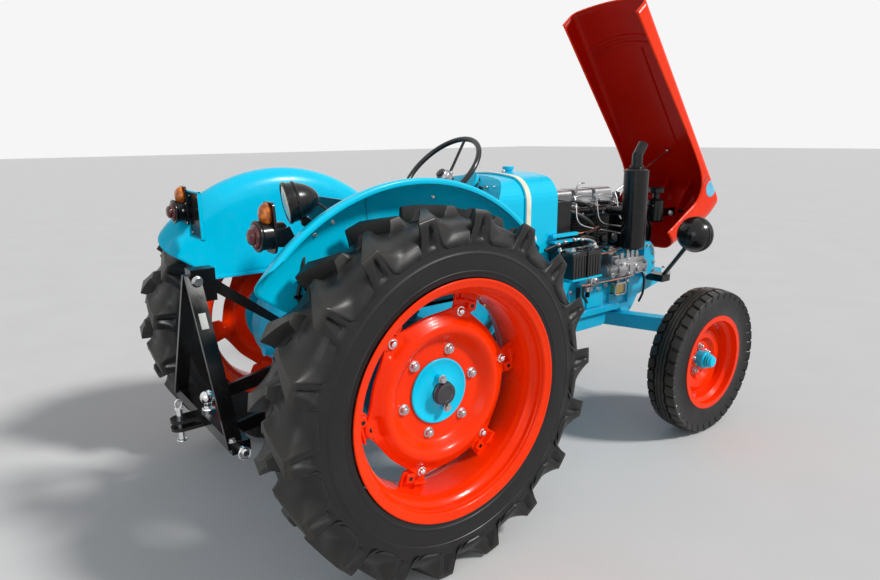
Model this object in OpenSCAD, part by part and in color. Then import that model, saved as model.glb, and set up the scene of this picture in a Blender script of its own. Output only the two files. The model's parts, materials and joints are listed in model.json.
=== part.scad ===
// Vintage farm tractor with an open engine and a front-hinged hood, shown open.
// Millimetres, Z up, the front of the tractor points to -Y and its left side to +X.
// Inside the modules, places are measured from the ground below the rear axle.

/* [Layout] */
// Distance from the middle of the whole tractor back to the rear axle
middle_to_rear_axle = 800; // [700:1:900]
// Distance between the rear and the front axle
wheelbase = 1550; // [1450:1:1650]
// Distance between the middles of the rear tyres
rear_track = 1250; // [1200:1:1300]
// Distance between the middles of the front tyres
front_track = 1245; // [1200:1:1300]
// Gap between pieces that only just miss each other
clearance = 0.3; // [0.2:0.05:0.5]
// Radial gap of a shaft that runs in its bore
running_gap = 0.05; // [0.02:0.01:0.1]

/* [Rear wheels] */
// Radius of the rear tyre out to the lug tips
rear_tyre_r = 585; // [570:1:600]
// Width of the rear tyre
rear_tyre_w = 245; // [230:1:260]
// Depth of the lugs
lug_h = 32; // [24:1:40]
// Lugs on each side of a rear tyre
lug_count = 18; // [16:1:20]
// Radius of the rim where the tyre bead sits
rear_bead_r = 356; // [350:1:362]
// Height of the rim flange over the bead seat
rear_flange_h = 26; // [20:1:30]
// Width over the rim flanges
rear_rim_w = 250; // [236:1:256]
// Depth of the rim's well under the bead seat
rear_well_d = 24; // [18:1:30]
// Thickness of the rear rim and disc plates
rear_plate = 7; // [5:0.5:9]
// Radius of the circle of the disc's ear bolts
ear_bolt_r = 264; // [255:1:275]
// Ears of the disc, each bolted to a bracket of the rim
ear_count = 6; // [6]
// Radius of the circle of the hub bolts
hub_bolt_r = 138; // [132:1:144]
// Diameter of the hub bolts' holes
hub_bolt_d = 17; // [14:1:20]
// Diameter of the ear bolts' holes
ear_bolt_d = 15; // [12:1:18]
// Radius of the hub's centring disc
hub_disc_r = 105; // [100:1:110]
// Radius of the rear axle shaft
axle_shaft_r = 32; // [28:1:36]

/* [Front wheels] */
// Radius of the front tyre
front_tyre_r = 340; // [330:1:350]
// Width of the front tyre
front_tyre_w = 145; // [135:1:155]
// Radius of the front rim where the tyre bead sits
front_bead_r = 203; // [198:1:208]
// Height of the front rim flange
front_flange_h = 18; // [14:1:22]
// Width over the front rim flanges
front_rim_w = 126; // [116:1:134]
// Thickness of the front rim and disc plates
front_plate = 5; // [4:0.5:7]
// Radius of the circle of the front wheel nuts
front_nut_r = 62; // [58:1:68]
// Front wheel nuts
front_nut_count = 5; // [4:1:6]
// Radius of the front spindle
spindle_r = 17; // [14:1:20]

/* [Rear body] */
// Half width of the gearbox housing
gearbox_half_w = 150; // [140:1:165]
// Underside of the gearbox housing
gearbox_z0 = 430; // [410:1:450]
// Top of the gearbox housing
gearbox_z1 = 780; // [760:1:800]
// Rear face of the gearbox housing behind the axle
gearbox_rear = 235; // [220:1:250]
// Where the clutch housing takes over from the gearbox, ahead of the axle
gearbox_front = 330; // [300:1:360]
// Radius of the round final drive housings
drum_r = 200; // [185:1:210]
// Width of the final drive housings
drum_w = 130; // [110:1:150]

/* [Engine] */
// Front face of the engine ahead of the front axle
engine_overhang = 50; // [40:1:60]
// Length of the engine's crankcase
engine_len = 520; // [500:1:540]
// Half width of the crankcase
engine_half_w = 165; // [155:1:175]
// Height of the oil pan's flange
pan_flange_z = 515; // [505:1:522]
// Top of the crankcase
crankcase_z1 = 800; // [780:1:820]
// Underside of the oil pan
pan_z0 = 428; // [420:1:440]
// Cylinders in a row
cylinder_count = 3; // [3]
// Radius of the cooling fins round a cylinder
fin_r = 78; // [70:1:80]
// Top of the cylinder heads
head_z1 = 1050; // [1040:1:1060]
// Height of the rocker covers
rocker_h = 62; // [50:1:66]

/* [Front axle] */
// Height of the beam at its middle
beam_h = 70; // [60:1:80]
// Underside of the beam at its middle
beam_z0 = 385; // [378:1:392]
// Rise of each half of the beam from the middle to the kingpin
beam_rise = 48; // [30:1:60]
// Thickness of the beam from front to rear
beam_t = 72; // [60:1:80]
// Distance of a kingpin inward from the middle of its tyre
kingpin_inset = 122.5; // [115:0.5:130]
// Radius of a kingpin
kingpin_r = 16; // [14:1:18]
// Length of the knuckles' arms
arm_len = 150; // [140:1:160]
// Radius of the tie rod
tie_rod_r = 12; // [10:1:14]

/* [Hood] */
// Height of the hood's hinge
hinge_z = 946; // [940:1:952]
// Distance of the hood's hinge ahead of the front axle
hinge_overhang = 585; // [575:1:595]
// How far the hood stands open, in degrees
hood_open = 50; // [45:1:53]
// Half width of the hood at the tank
hood_half_rear = 222; // [218:1:226]
// Half width of the hood at the nose
hood_half_nose = 252; // [246:1:258]
// Thickness of the hood's sheet with its folded edges
hood_t = 4; // [3:0.5:6]
// Radius of the hinge pin
hinge_pin_r = 8; // [6:0.5:10]

/* [Fenders] */
// Gap between the rear tyre and the top of the fender
fender_gap = 75; // [65:1:85]
// Gap between the rear tyre's inner side and the fender's wall
fender_wall_gap = 50.5; // [46:0.5:54]
// Width of the fender from its wall to its outer edge
fender_w = 83; // [76:1:90]
// Thickness of the fender's sheet with its rolled edge
fender_t = 4; // [3:0.5:6]

/* [Steering] */
// Height of the middle of the steering wheel's rim
steer_rim_z = 1225; // [1210:1:1240]
// Distance of the middle of the steering wheel's rim behind the engine
steer_rim_back = 590; // [580:1:600]
// Slope of the steering column from level, in degrees
column_slope = 45; // [43:1:48]
// Depth of the steering wheel's hub below its rim
steer_dish = 40; // [30:1:50]
// Radius of the steering wheel
steer_wheel_r = 200; // [190:1:210]
// Thickness of the steering wheel's rim
steer_rim_d = 22; // [18:1:26]
// Radius of the steering column
column_r = 22; // [18:1:26]

/* [Hitch] */
// How far the hitch reaches behind the axle, to the clevis
hitch_reach = 530; // [520:1:540]
// Half width of the hitch's crossbar
crossbar_half = 300; // [290:1:310]
// Height of the crossbar
crossbar_z = 430; // [420:1:440]
// Height of the bolt at the top of the hitch
apex_z = 905; // [895:1:915]
// Diameter of the tow ball
ball_d = 50; // [50]

/* [Hidden] */
$fn = 64;

cyan = [0.05, 0.72, 0.9];
orange = [0.95, 0.2, 0.05];
black = [0.06, 0.06, 0.06];
rubber = [0.1, 0.1, 0.1];
steel = [0.7, 0.7, 0.72];
amber = [0.9, 0.5, 0.1];
cream = [0.85, 0.83, 0.75];

// Sizes that follow from the layout
engine_front = wheelbase + engine_overhang;
engine_rear = engine_front - engine_len;
hinge_reach = wheelbase + hinge_overhang;
kingpin_x = front_track / 2 - kingpin_inset;
fender_r = rear_tyre_r + fender_gap;
fender_x0 = (rear_track - rear_tyre_w) / 2 - fender_wall_gap;
fender_x1 = fender_x0 + fender_w;
drum_x1 = fender_x0 - 2;
steer_rim_reach = engine_rear - steer_rim_back;

// Front axle and knuckles, from the ground below the rear axle
kingpin_boss_r = kingpin_r + 18;
kingpin_boss_z0 = beam_z0 + beam_rise;
beam_knee_x = kingpin_x - kingpin_boss_r - 12;
kingpin_boss_z1 = kingpin_boss_z0 + 112;
arm_t = 26;
top_arm_z = kingpin_boss_z1 + clearance;
tie_rod_z = 372;
drag_link_r = 11;
drag_ball_r = 17;
drag_link_z = top_arm_z + arm_t + clearance + drag_ball_r;
drag_link_x = kingpin_x - arm_len;

// Steering box
cross_shaft_z = gearbox_z1 + 35;
box_y = -steer_rim_reach - (steer_rim_z - cross_shaft_z) / tan(column_slope);
pitman_len = cross_shaft_z - drag_link_z;

// Hood hinge, from the ground below the rear axle
hinge_y = -hinge_reach;

// Points along an arc about c, from angle a0 to a1 in n steps
function arc(c, r, a0, a1, n) = [
    for (i = [0:n]) let (a = a0 + (a1 - a0) * i / n) [c[0] + r * cos(a), c[1] + r * sin(a)]
];

// Points along the arc from p to q that rises s to the left of the line between them
function bow(p, q, s, n) = let (
    c = norm(q - p),
    d = (q - p) / c,
    up = [-d[1], d[0]],
    r = (c * c / 4 + s * s) / (2 * s),
    o = (p + q) / 2 + up * (s - r),
    h = asin(c / 2 / r)
) [for (i = [0:n]) let (a = -h + 2 * h * i / n) o + r * (up * cos(a) + d * sin(a))];

// Puts the rear axle where it stands in the whole tractor
module from_axle() {
    translate([0, middle_to_rear_axle, 0]) children();
}

// Extrudes a (y, z) profile across the tractor from x0 over a width
module across(x0, width) {
    translate([x0, 0, 0]) rotate([90, 0, 90]) linear_extrude(width) children();
}

// Extrudes an (x, z) section forward from y over a length
module forward(y, length) {
    translate([0, y, 0]) rotate([90, 0, 0]) linear_extrude(length) children();
}

// Both sides of the tractor
module both_sides() {
    children();
    mirror([1, 0, 0]) children();
}

// One side of the tractor: 1 is the left, -1 the right
module on_side(side) {
    if (side > 0) {
        children();
    } else {
        mirror([1, 0, 0]) children();
    }
}

// Stands a left wheel, modelled with +Z outward, at its axle
module wheel_at(track, y, z) {
    translate([track / 2, y, z]) rotate([0, 90, 0]) children();
}

// Rod from p to q with round ends cut square
module rod(p, q, r) {
    d = q - p;
    translate(p)
        rotate([0, acos(d[2] / norm(d)), atan2(d[1], d[0])])
            cylinder(r = r, h = norm(d));
}

// Wheel sections, as (radius, distance from the middle plane)
rear_bead_w = rear_rim_w / 2 - rear_plate;
front_bead_w = front_rim_w / 2 - front_plate;

module tyre_section(bead_r, bead_w, flange_h, half_w, tread_r, crown) {
    shoulder = [tread_r - crown, half_w * 0.88];
    rim_edge = [bead_r + flange_h + 3, bead_w];
    wall = bow(rim_edge, shoulder, half_w - (bead_w + half_w * 0.88) / 2, 8);
    top = bow(shoulder, [shoulder[0], -shoulder[1]], crown, 10);
    low = bow([shoulder[0], -shoulder[1]], [rim_edge[0], -bead_w], half_w - (bead_w + half_w * 0.88) / 2, 8);
    polygon(concat([[bead_r, -bead_w], [bead_r, bead_w]], wall, top, low));
}

// Sections of a lug, from its nose near the middle of the tread to its buttress on the side wall:
// distance from the middle plane, setback along the tread, half thickness at the top and at the
// root, height of the top below the lug tips, and height of the root below them
LUG = [
    [-12, 0, 12, 18, 3, 42],
    [50, 42, 14, 22, 0, 42],
    [102, 80, 18, 32, 4, 66],
    [122, 94, 20, 38, 26, 88]
];

module lug() {
    function at(r, along, w) = let (a = -along / rear_tyre_r * 180 / PI) [r * cos(a), r * sin(a), w];
    points = [
        for (s = LUG, corner = [[-1, 3, 5], [1, 3, 5], [1, 2, 4], [-1, 2, 4]])
            at(rear_tyre_r - s[corner[2]], s[1] + corner[0] * s[corner[1]], s[0])
    ];
    last = 4 * (len(LUG) - 1);
    sides = [
        for (k = [0:4:last - 4], j = [0:3], half = [0, 1])
            half == 0 ? [k + j, k + 4 + j, k + (j + 1) % 4] : [k + (j + 1) % 4, k + 4 + j, k + 4 + (j + 1) % 4]
    ];
    ends = [[0, 1, 2], [0, 2, 3], [last, last + 2, last + 1], [last, last + 3, last + 2]];
    polyhedron(points, concat(sides, ends), convexity = 4);
}

module rear_tyre() {
    rotate_extrude($fn = 96)
        tyre_section(rear_bead_r, rear_bead_w, rear_flange_h, rear_tyre_w / 2 + 3, rear_tyre_r - lug_h, 14);
    for (i = [0:lug_count - 1]) {
        rotate(i * 360 / lug_count) lug();
        rotate((i + 0.5) * 360 / lug_count) mirror([0, 0, 1]) lug();
    }
}

// Points in reverse, on the other side of the middle plane
function flip(points) = [for (i = [len(points) - 1:-1:0]) [points[i][0], -points[i][1]]];

// Section of a rim: flange, bead seat, ledge and well, with the same outline inside
module rim_section(bead_r, flange_h, half_w, plate, ledge, slope, well_d) {
    seat = half_w - plate;
    tyre_side = [
        [bead_r + flange_h, half_w],
        [bead_r + flange_h, seat],
        [bead_r, seat],
        [bead_r, seat - ledge],
        [bead_r - well_d, seat - ledge - slope]
    ];
    inside = [
        [bead_r - well_d - plate, seat - ledge - slope - plate / 2],
        [bead_r - plate, seat - ledge - plate / 2],
        [bead_r - plate, half_w]
    ];
    polygon(concat(tyre_side, flip(tyre_side), flip(inside), inside));
}

rear_ledge = 30;
rear_slope = 22;
rear_well_r = rear_bead_r - rear_well_d - rear_plate;
bracket_r0 = ear_bolt_r - 18;
bracket_t = 10;
ear_angle = 18;
clamp_angle = 170;

module rear_rim() {
    rotate_extrude($fn = 96)
        rim_section(rear_bead_r, rear_flange_h, rear_rim_w / 2, rear_plate, rear_ledge, rear_slope, rear_well_d);
    for (i = [0:ear_count - 1])
        rotate(ear_angle + i * 360 / ear_count)
            difference() {
                intersection() {
                    translate([bracket_r0, -34, -bracket_t])
                        cube([rear_well_r - bracket_r0 + rear_plate / 2, 96, bracket_t]);
                    cylinder(r = rear_well_r + rear_plate / 2, h = 3 * bracket_t, center = true);
                }
                for (hole = [[ear_bolt_r, 0], [ear_bolt_r + 22, 40]])
                    translate([hole[0], hole[1], -2 * bracket_t])
                        cylinder(d = ear_bolt_d, h = 3 * bracket_t);
            }
}

// Dish of the rear disc: radius and outer face
DISH = [[hub_disc_r + 45, -6], [190, 27], [206, 36], [224, 31], [241, rear_plate]];
ear_tip_r = ear_bolt_r + 18;
ear_half_angle = 4.5;
ear_hollow = 9;

// Outline of the disc: six ears with hollow sides between them
module disc_outline() {
    step = 360 / ear_count;
    function tip(a) = [ear_tip_r * cos(a), ear_tip_r * sin(a)];
    polygon([
        for (i = [0:ear_count - 1])
            each bow(tip(i * step + ear_half_angle), tip((i + 1) * step - ear_half_angle), ear_hollow, 8)
    ]);
}

module rear_disc() {
    hub_face = DISH[0][1];
    outer = concat([[hub_disc_r + clearance, hub_face]], DISH, [[ear_tip_r + 20, rear_plate]]);
    inner = [for (i = [len(outer) - 1:-1:0]) [outer[i][0], outer[i][1] - rear_plate]];
    difference() {
        intersection() {
            rotate_extrude($fn = 96) polygon(concat(outer, inner));
            rotate(ear_angle) translate([0, 0, -60]) linear_extrude(120) disc_outline();
        }
        for (i = [0:ear_count - 1])
            rotate(ear_angle + i * 360 / ear_count) {
                translate([ear_bolt_r, 0, -20]) cylinder(d = ear_bolt_d, h = 60);
                translate([hub_bolt_r, 0, -20]) cylinder(d = hub_bolt_d, h = 60);
            }
    }
}

hub_flange_r = hub_bolt_r + 26;
hub_face_w = DISH[0][1] - rear_plate;
hub_inner_w = drum_x1 + 6 - rear_track / 2;
shaft_depth = 70;
shaft_cap_w = hub_face_w + rear_plate + 32;

module rear_hub() {
    difference() {
        union() {
            rotate_extrude($fn = 96)
                polygon([
                    [0, hub_inner_w - 6 - shaft_depth + 2],
                    [axle_shaft_r, hub_inner_w - 6 - shaft_depth + 2],
                    [axle_shaft_r, hub_inner_w],
                    [72, hub_inner_w],
                    [72, hub_face_w - 60],
                    [96, hub_face_w - 20],
                    [hub_flange_r, hub_face_w - 20],
                    [hub_flange_r, hub_face_w],
                    [hub_disc_r, hub_face_w],
                    [hub_disc_r, hub_face_w + rear_plate + 5],
                    [44, hub_face_w + rear_plate + 8],
                    [axle_shaft_r, hub_face_w + rear_plate + 14],
                    [axle_shaft_r, shaft_cap_w],
                    [0, shaft_cap_w]
                ]);
            rotate(clamp_angle) clamp_ear();
            rotate(clamp_angle + 180) clamp_ear();
        }
        for (i = [0:ear_count - 1])
            rotate(ear_angle + i * 360 / ear_count)
                translate([hub_bolt_r, 0, hub_face_w - 40]) cylinder(d = hub_bolt_d, h = 60);
    }
}

// Ear of the clamp round the end of the axle shaft
module clamp_ear() {
    translate([axle_shaft_r - 4, -10, hub_face_w + rear_plate + 4]) cube([22, 20, 22]);
}

module rear_wheel_piece(side) {
    from_axle() on_side(side) wheel_at(rear_track, 0, rear_tyre_r) children();
}

// Front wheels
front_axle_z = front_tyre_r;
front_well_d = 16;
front_well_r = front_bead_r - front_well_d - front_plate;
window_count = 5;
window_angle = 12;
nut_angle = 34;
front_disc_w = -14;

// Grooves of the front tread, as (distance from the middle plane, width)
GROOVES = [[-27, 9], [-10, 3], [7, 3], [18, 9]];
groove_d = 9;

module front_tyre() {
    rotate_extrude($fn = 96) difference() {
        tyre_section(front_bead_r, front_bead_w, front_flange_h, front_tyre_w / 2, front_tyre_r, 14);
        for (g = GROOVES) translate([front_tyre_r - groove_d, g[0]]) square([groove_d + 5, g[1]]);
    }
}

module front_wheel() {
    disc_r = front_well_r + front_plate / 2;
    outer = [
        [front_bore_r, front_disc_w],
        [84, front_disc_w],
        [104, front_disc_w + 16],
        [138, front_disc_w + 16],
        [160, front_disc_w + 4],
        [disc_r, front_disc_w + 4]
    ];
    inner = [for (i = [len(outer) - 1:-1:0]) [outer[i][0], outer[i][1] - front_plate]];
    difference() {
        union() {
            rotate_extrude($fn = 96)
                rim_section(front_bead_r, front_flange_h, front_rim_w / 2, front_plate, 20, 14, front_well_d);
            rotate_extrude($fn = 96) polygon(concat(outer, inner));
        }
        for (i = [0:window_count - 1])
            rotate(window_angle + i * 360 / window_count)
                intersection() {
                    translate([front_well_r * cos(180 / window_count / 2), -80, -60]) cube([60, 160, 90]);
                    translate([0, 0, -60]) cylinder(r = front_well_r - 1, h = 90, $fn = 96);
                }
        for (i = [0:front_nut_count - 1])
            rotate(nut_angle + i * 360 / front_nut_count)
                translate([front_nut_r, 0, front_disc_w - 20]) cylinder(d = 13, h = 40);
    }
}

front_bore_r = 40;
front_hub_inner_w = kingpin_x + 38 - front_track / 2;
spindle_tip_w = 22;

module front_hub() {
    face = front_disc_w - front_plate;
    difference() {
        rotate_extrude()
            polygon([
                [0, front_hub_inner_w],
                [46, front_hub_inner_w],
                [46, face - 14],
                [front_nut_r + 20, face - 14],
                [front_nut_r + 20, face],
                [front_bore_r - clearance, face],
                [front_bore_r - clearance, 22],
                [30, 26],
                [30, 38],
                [23, 40],
                [23, 50],
                [0, 50]
            ]);
        translate([0, 0, front_hub_inner_w - 1])
            cylinder(r = spindle_r + running_gap, h = spindle_tip_w + 1 - front_hub_inner_w + 1);
        for (i = [0:front_nut_count - 1])
            rotate(nut_angle + i * 360 / front_nut_count)
                translate([front_nut_r, 0, face - 20]) cylinder(d = 13, h = 40);
    }
}

module front_wheel_piece(side) {
    from_axle() on_side(side) wheel_at(front_track, -wheelbase, front_axle_z) children();
}

// Knuckle with its kingpin, spindle and the arm of the tie rod; the left one has the drag link's arm
module knuckle(side) {
    from_axle() on_side(side) translate([kingpin_x, -wheelbase, 0]) {
        translate([0, 0, front_axle_z]) cylinder(r = kingpin_r, h = top_arm_z + arm_t - front_axle_z);
        translate([0, 0, front_axle_z - 36])
            cylinder(r = 30, h = kingpin_boss_z0 - clearance - front_axle_z + 36);
        translate([0, 0, front_axle_z]) rotate([0, 90, 0]) {
            cylinder(r = 34, h = 37);
            cylinder(r = spindle_r, h = front_track / 2 + spindle_tip_w - kingpin_x);
        }
        translate([-15, -arm_len, tie_rod_z - arm_t]) cube([30, arm_len, arm_t]);
        translate([0, -arm_len, tie_rod_z - arm_t]) cylinder(r = 20, h = arm_t);
        translate([0, -arm_len, tie_rod_z - arm_t]) cylinder(r = tie_pin_r, h = arm_t + 30);
        translate([0, 0, top_arm_z]) cylinder(r = 26, h = arm_t);
        if (side > 0) {
            translate([-arm_len, -14, top_arm_z]) cube([arm_len, 28, arm_t]);
            translate([-arm_len, 0, top_arm_z]) cylinder(r = 20, h = arm_t);
        }
    }
}

// Tie rod, carried on the right knuckle's pin
module tie_rod() {
    eye_h = 24;
    color(black) from_axle() translate([0, -wheelbase - arm_len, tie_rod_z + clearance]) {
        difference() {
            union() {
                both_sides() translate([kingpin_x, 0, 0]) cylinder(r = 20, h = eye_h);
                translate([-kingpin_x + 12, 0, eye_h / 2])
                    rotate([0, 90, 0]) cylinder(r = eye_h / 2, h = 2 * kingpin_x - 24);
            }
            translate([-kingpin_x, 0, -1]) cylinder(r = tie_pin_r + running_gap, h = eye_h + 2);
            translate([kingpin_x, 0, -1]) cylinder(r = tie_pin_r + clearance, h = eye_h + 2);
        }
    }
}

// Drop arm on the left end of the steering box's cross shaft
module pitman_arm() {
    color(black) from_axle() translate([drag_link_x - pitman_t - 12, box_y, 0]) difference() {
        union() {
            translate([0, 0, cross_shaft_z]) rotate([0, 90, 0]) cylinder(r = 30, h = pitman_t);
            translate([0, 0, drag_link_z]) rotate([0, 90, 0]) cylinder(r = 20, h = pitman_t);
            translate([0, -16, drag_link_z]) cube([pitman_t, 32, pitman_len]);
            translate([0, 0, drag_link_z]) rotate([0, 90, 0]) cylinder(r = pitman_pin_r, h = pitman_t + 24);
        }
        translate([-1, 0, cross_shaft_z])
            rotate([0, 90, 0]) cylinder(r = cross_shaft_r + running_gap, h = pitman_t + 2);
    }
}

// Rod from the drop arm to the left knuckle; its front ball stands over the knuckle's arm
module drag_link() {
    color(black) from_axle() translate([drag_link_x, 0, drag_link_z]) difference() {
        union() {
            rod([0, box_y, 0], [0, -wheelbase, 0], drag_link_r);
            translate([-12 + clearance, box_y, 0]) rotate([0, 90, 0]) cylinder(r = 18, h = 24 - clearance);
            translate([0, -wheelbase, 0]) sphere(r = drag_ball_r);
        }
        translate([-13, box_y, 0]) rotate([0, 90, 0]) cylinder(r = pitman_pin_r + running_gap, h = 30);
    }
}

// Along the steering column's axis, from the middle of the wheel's rim downward
module on_column() {
    from_axle() translate([0, -steer_rim_reach, steer_rim_z]) rotate([90 + column_slope, 0, 0]) children();
}

module steering_wheel() {
    hub_z = steer_dish - 14;
    color(black) on_column() {
        rotate_extrude() translate([steer_wheel_r - steer_rim_d / 2, 0]) circle(d = steer_rim_d, $fn = 24);
        translate([0, 0, hub_z]) cylinder(r = 30, h = 30);
        translate([0, 0, hub_z]) cylinder(r = wheel_shaft_r, h = 100);
        for (i = [0:2])
            rotate(90 + i * 120)
                rod([24, 0, steer_dish], [steer_wheel_r - steer_rim_d / 2, 0, 0], 6);
    }
}

module steering_column() {
    length = (steer_rim_z - cross_shaft_z) / sin(column_slope);
    start = steer_dish + 17;
    color(black) {
        difference() {
            union() {
                on_column() translate([0, 0, start]) cylinder(r = column_r, h = length - start);
                from_axle() translate([-40, box_y - 45, gearbox_z1]) cube([80, 90, tank_z0 - 4 - gearbox_z1]);
            }
            on_column() translate([0, 0, start - 1]) cylinder(r = wheel_shaft_r + running_gap, h = 90);
        }
        from_axle() translate([39, box_y, cross_shaft_z])
            rotate([0, 90, 0]) cylinder(r = cross_shaft_r, h = drag_link_x - 12 - 39);
    }
}

module transmission_housing() {
    profile = concat(
        [[-gearbox_front, gearbox_z0], [gearbox_rear - 40, gearbox_z0]],
        [[gearbox_rear, gearbox_z0 + 40], [gearbox_rear, gearbox_z1 - 60], [gearbox_rear - 60, gearbox_z1]],
        [[-gearbox_front, gearbox_z1]]
    );
    color(cyan) from_axle() {
        across(-gearbox_half_w, 2 * gearbox_half_w) polygon(profile);
        translate([0, gearbox_rear, pto_z]) rotate([-90, 0, 0]) {
            cylinder(r = 62, h = 14);
            cylinder(r = pto_r, h = 14 + pto_len);
        }
    }
}

module rear_axle_housings() {
    drum_x0 = drum_x1 - drum_w;
    color(cyan) from_axle() both_sides() translate([0, 0, rear_tyre_r]) {
        rotate([0, 90, 0]) rotate_extrude($fn = 96)
            polygon([
                [0, gearbox_half_w],
                [118, gearbox_half_w],
                [118, gearbox_half_w + 20],
                [84, gearbox_half_w + 60],
                [84, drum_x0 - 20],
                [drum_r - 30, drum_x0],
                [drum_r, drum_x0 + 30],
                [drum_r, drum_x1 - 14],
                [drum_r - 14, drum_x1],
                [axle_shaft_r + running_gap, drum_x1],
                [axle_shaft_r + running_gap, drum_x1 - shaft_depth],
                [0, drum_x1 - shaft_depth]
            ]);
        translate([drum_x1 - 60, -50, 120]) cube([50, 100, fender_pad_z - rear_tyre_r - 120]);
    }
}

module clutch_housing() {
    flare = engine_half_w + 25;
    color(cyan) from_axle() translate([0, 0, gearbox_z0]) linear_extrude(gearbox_z1 - gearbox_z0)
        polygon([
            [-gearbox_half_w, -gearbox_front],
            [-gearbox_half_w, -engine_rear + 180],
            [-flare, -engine_rear + 60],
            [-flare, -engine_rear],
            [flare, -engine_rear],
            [flare, -engine_rear + 60],
            [gearbox_half_w, -engine_rear + 180],
            [gearbox_half_w, -gearbox_front]
        ]);
}

pan_lip = 14;

// Covers on the right side of the crankcase, as (distance behind the front, width)
SIDE_COVERS = [[70, 110], [240, 110], [395, 90]];
cover_t = 9;

module engine_block() {
    color(cyan) from_axle() {
        mirror([1, 0, 0]) for (c = SIDE_COVERS)
            translate([engine_half_w, -engine_front + c[0], pan_flange_z + 28]) cube([cover_t, c[1], 92]);
        both_sides() translate([engine_half_w, -engine_front, pan_flange_z + 12]) cube([14, 34, crankcase_z1 - pan_flange_z - 12]);
        across(-engine_half_w, 2 * engine_half_w)
            polygon([
                [-engine_rear, pan_flange_z],
                [-engine_front, pan_flange_z],
                [-engine_front, crankcase_z1],
                [-engine_rear, crankcase_z1]
            ]);
        across(-engine_half_w - pan_lip, 2 * (engine_half_w + pan_lip))
            polygon([
                [-engine_rear, pan_flange_z],
                [-engine_front, pan_flange_z],
                [-engine_front, pan_flange_z + 12],
                [-engine_rear, pan_flange_z + 12]
            ]);
    }
}

module oil_pan() {
    lip_half = engine_half_w + pan_lip;
    color(cyan) from_axle() {
        translate([-lip_half, -engine_front + 8, pan_flange_z - 12])
            cube([2 * lip_half, engine_front - engine_rear - 8, 12]);
        across(-engine_half_w + 10, 2 * engine_half_w - 20)
            polygon([
                [-engine_rear - 60, pan_flange_z - 12],
                [-engine_rear - 105, pan_z0 + 14],
                [-engine_rear - 130, pan_z0],
                [-engine_front + 200, pan_z0],
                [-engine_front + 180, pan_z0 + 14],
                [-engine_front + 175, pan_flange_z - 12]
            ]);
    }
}

// Places of the cylinders along the engine
cylinder_pitch = 150;
cylinder_y = [for (i = [0:cylinder_count - 1]) -engine_rear - 105 - i * cylinder_pitch];
fin_pitch = 15;
fin_t = 6;
head_h = 62;

module cylinders() {
    color(black) from_axle() for (y = cylinder_y)
        translate([0, y, crankcase_z1]) {
            cylinder(r = fin_r - 16, h = head_z1 - crankcase_z1);
            for (z = [8:fin_pitch:head_z1 - crankcase_z1 - head_h - fin_t])
                translate([0, 0, z]) cylinder(r = fin_r, h = fin_t);
            translate([-fin_r, -fin_r + 6, head_z1 - crankcase_z1 - head_h])
                cube([2 * fin_r, 2 * fin_r - 12, head_h]);
        }
}

cover_half_w = 56;

module rocker_covers() {
    section = concat(
        [[-cover_half_w, head_z1], [cover_half_w, head_z1]],
        arc([cover_half_w - 22, head_z1 + rocker_h - 22], 22, 0, 90, 5),
        arc([-cover_half_w + 22, head_z1 + rocker_h - 22], 22, 90, 180, 5)
    );
    color(steel) from_axle() for (y = cylinder_y) {
        forward(y + 62, 124) polygon(section);
        translate([-cover_half_w - 8, y - 66, head_z1]) cube([2 * cover_half_w + 16, 132, 12]);
    }
}

fan_z = 870;
fan_r = 140;
fan_front = engine_front + 180;

module fan_housing() {
    color(black) from_axle() {
        translate([0, -engine_front, fan_z]) rotate([90, 0, 0]) difference() {
            cylinder(r = fan_r, h = fan_front - engine_front);
            translate([0, 0, fan_front - engine_front - 50])
                difference() {
                    cylinder(r = fan_r - 6, h = 60);
                    cylinder(r = 46, h = 60, center = true);
                }
        }
        translate([cleaner_x - 30, cleaner_y - 30, cleaner_z0 - 8]) cube([-cleaner_x - hinge_arm_x + 25, 60, 8]);
        translate([-14, -engine_front - 75, fan_z + fan_r - 20]) cube([28, 28, stay_foot_z - fan_z - fan_r + 20]);
        both_sides() translate([hinge_arm_x, -hinge_reach, hinge_z - 22])
            cube([10, hinge_reach - fan_front + 60, 44]);
        both_sides() translate([hinge_arm_x, hinge_y, hinge_z]) rotate([0, 90, 0]) cylinder(r = 22, h = 10);
        translate([-hinge_arm_x - 44, hinge_y, hinge_z])
            rotate([0, 90, 0]) cylinder(r = hinge_pin_r, h = 2 * (hinge_arm_x + 44));
    }
}

cleaner_x = -128;
cleaner_y = -engine_front - 232;
cleaner_z0 = 925;
cleaner_r = 42;

module air_cleaner() {
    color(black) from_axle() translate([cleaner_x, cleaner_y, cleaner_z0]) rotate_extrude()
        polygon([
            [0, 0],
            [cleaner_r, 0],
            [cleaner_r, 104],
            [18, 116],
            [18, 140],
            [40, 146],
            [40, 166],
            [30, 172],
            [0, 172]
        ]);
}

muffler_x = -300;
muffler_y = -engine_front + 190;
muffler_r = 57;
muffler_z0 = 840;
muffler_z1 = 1215;
exhaust_z = 1012;
log_x = 132;

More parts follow.
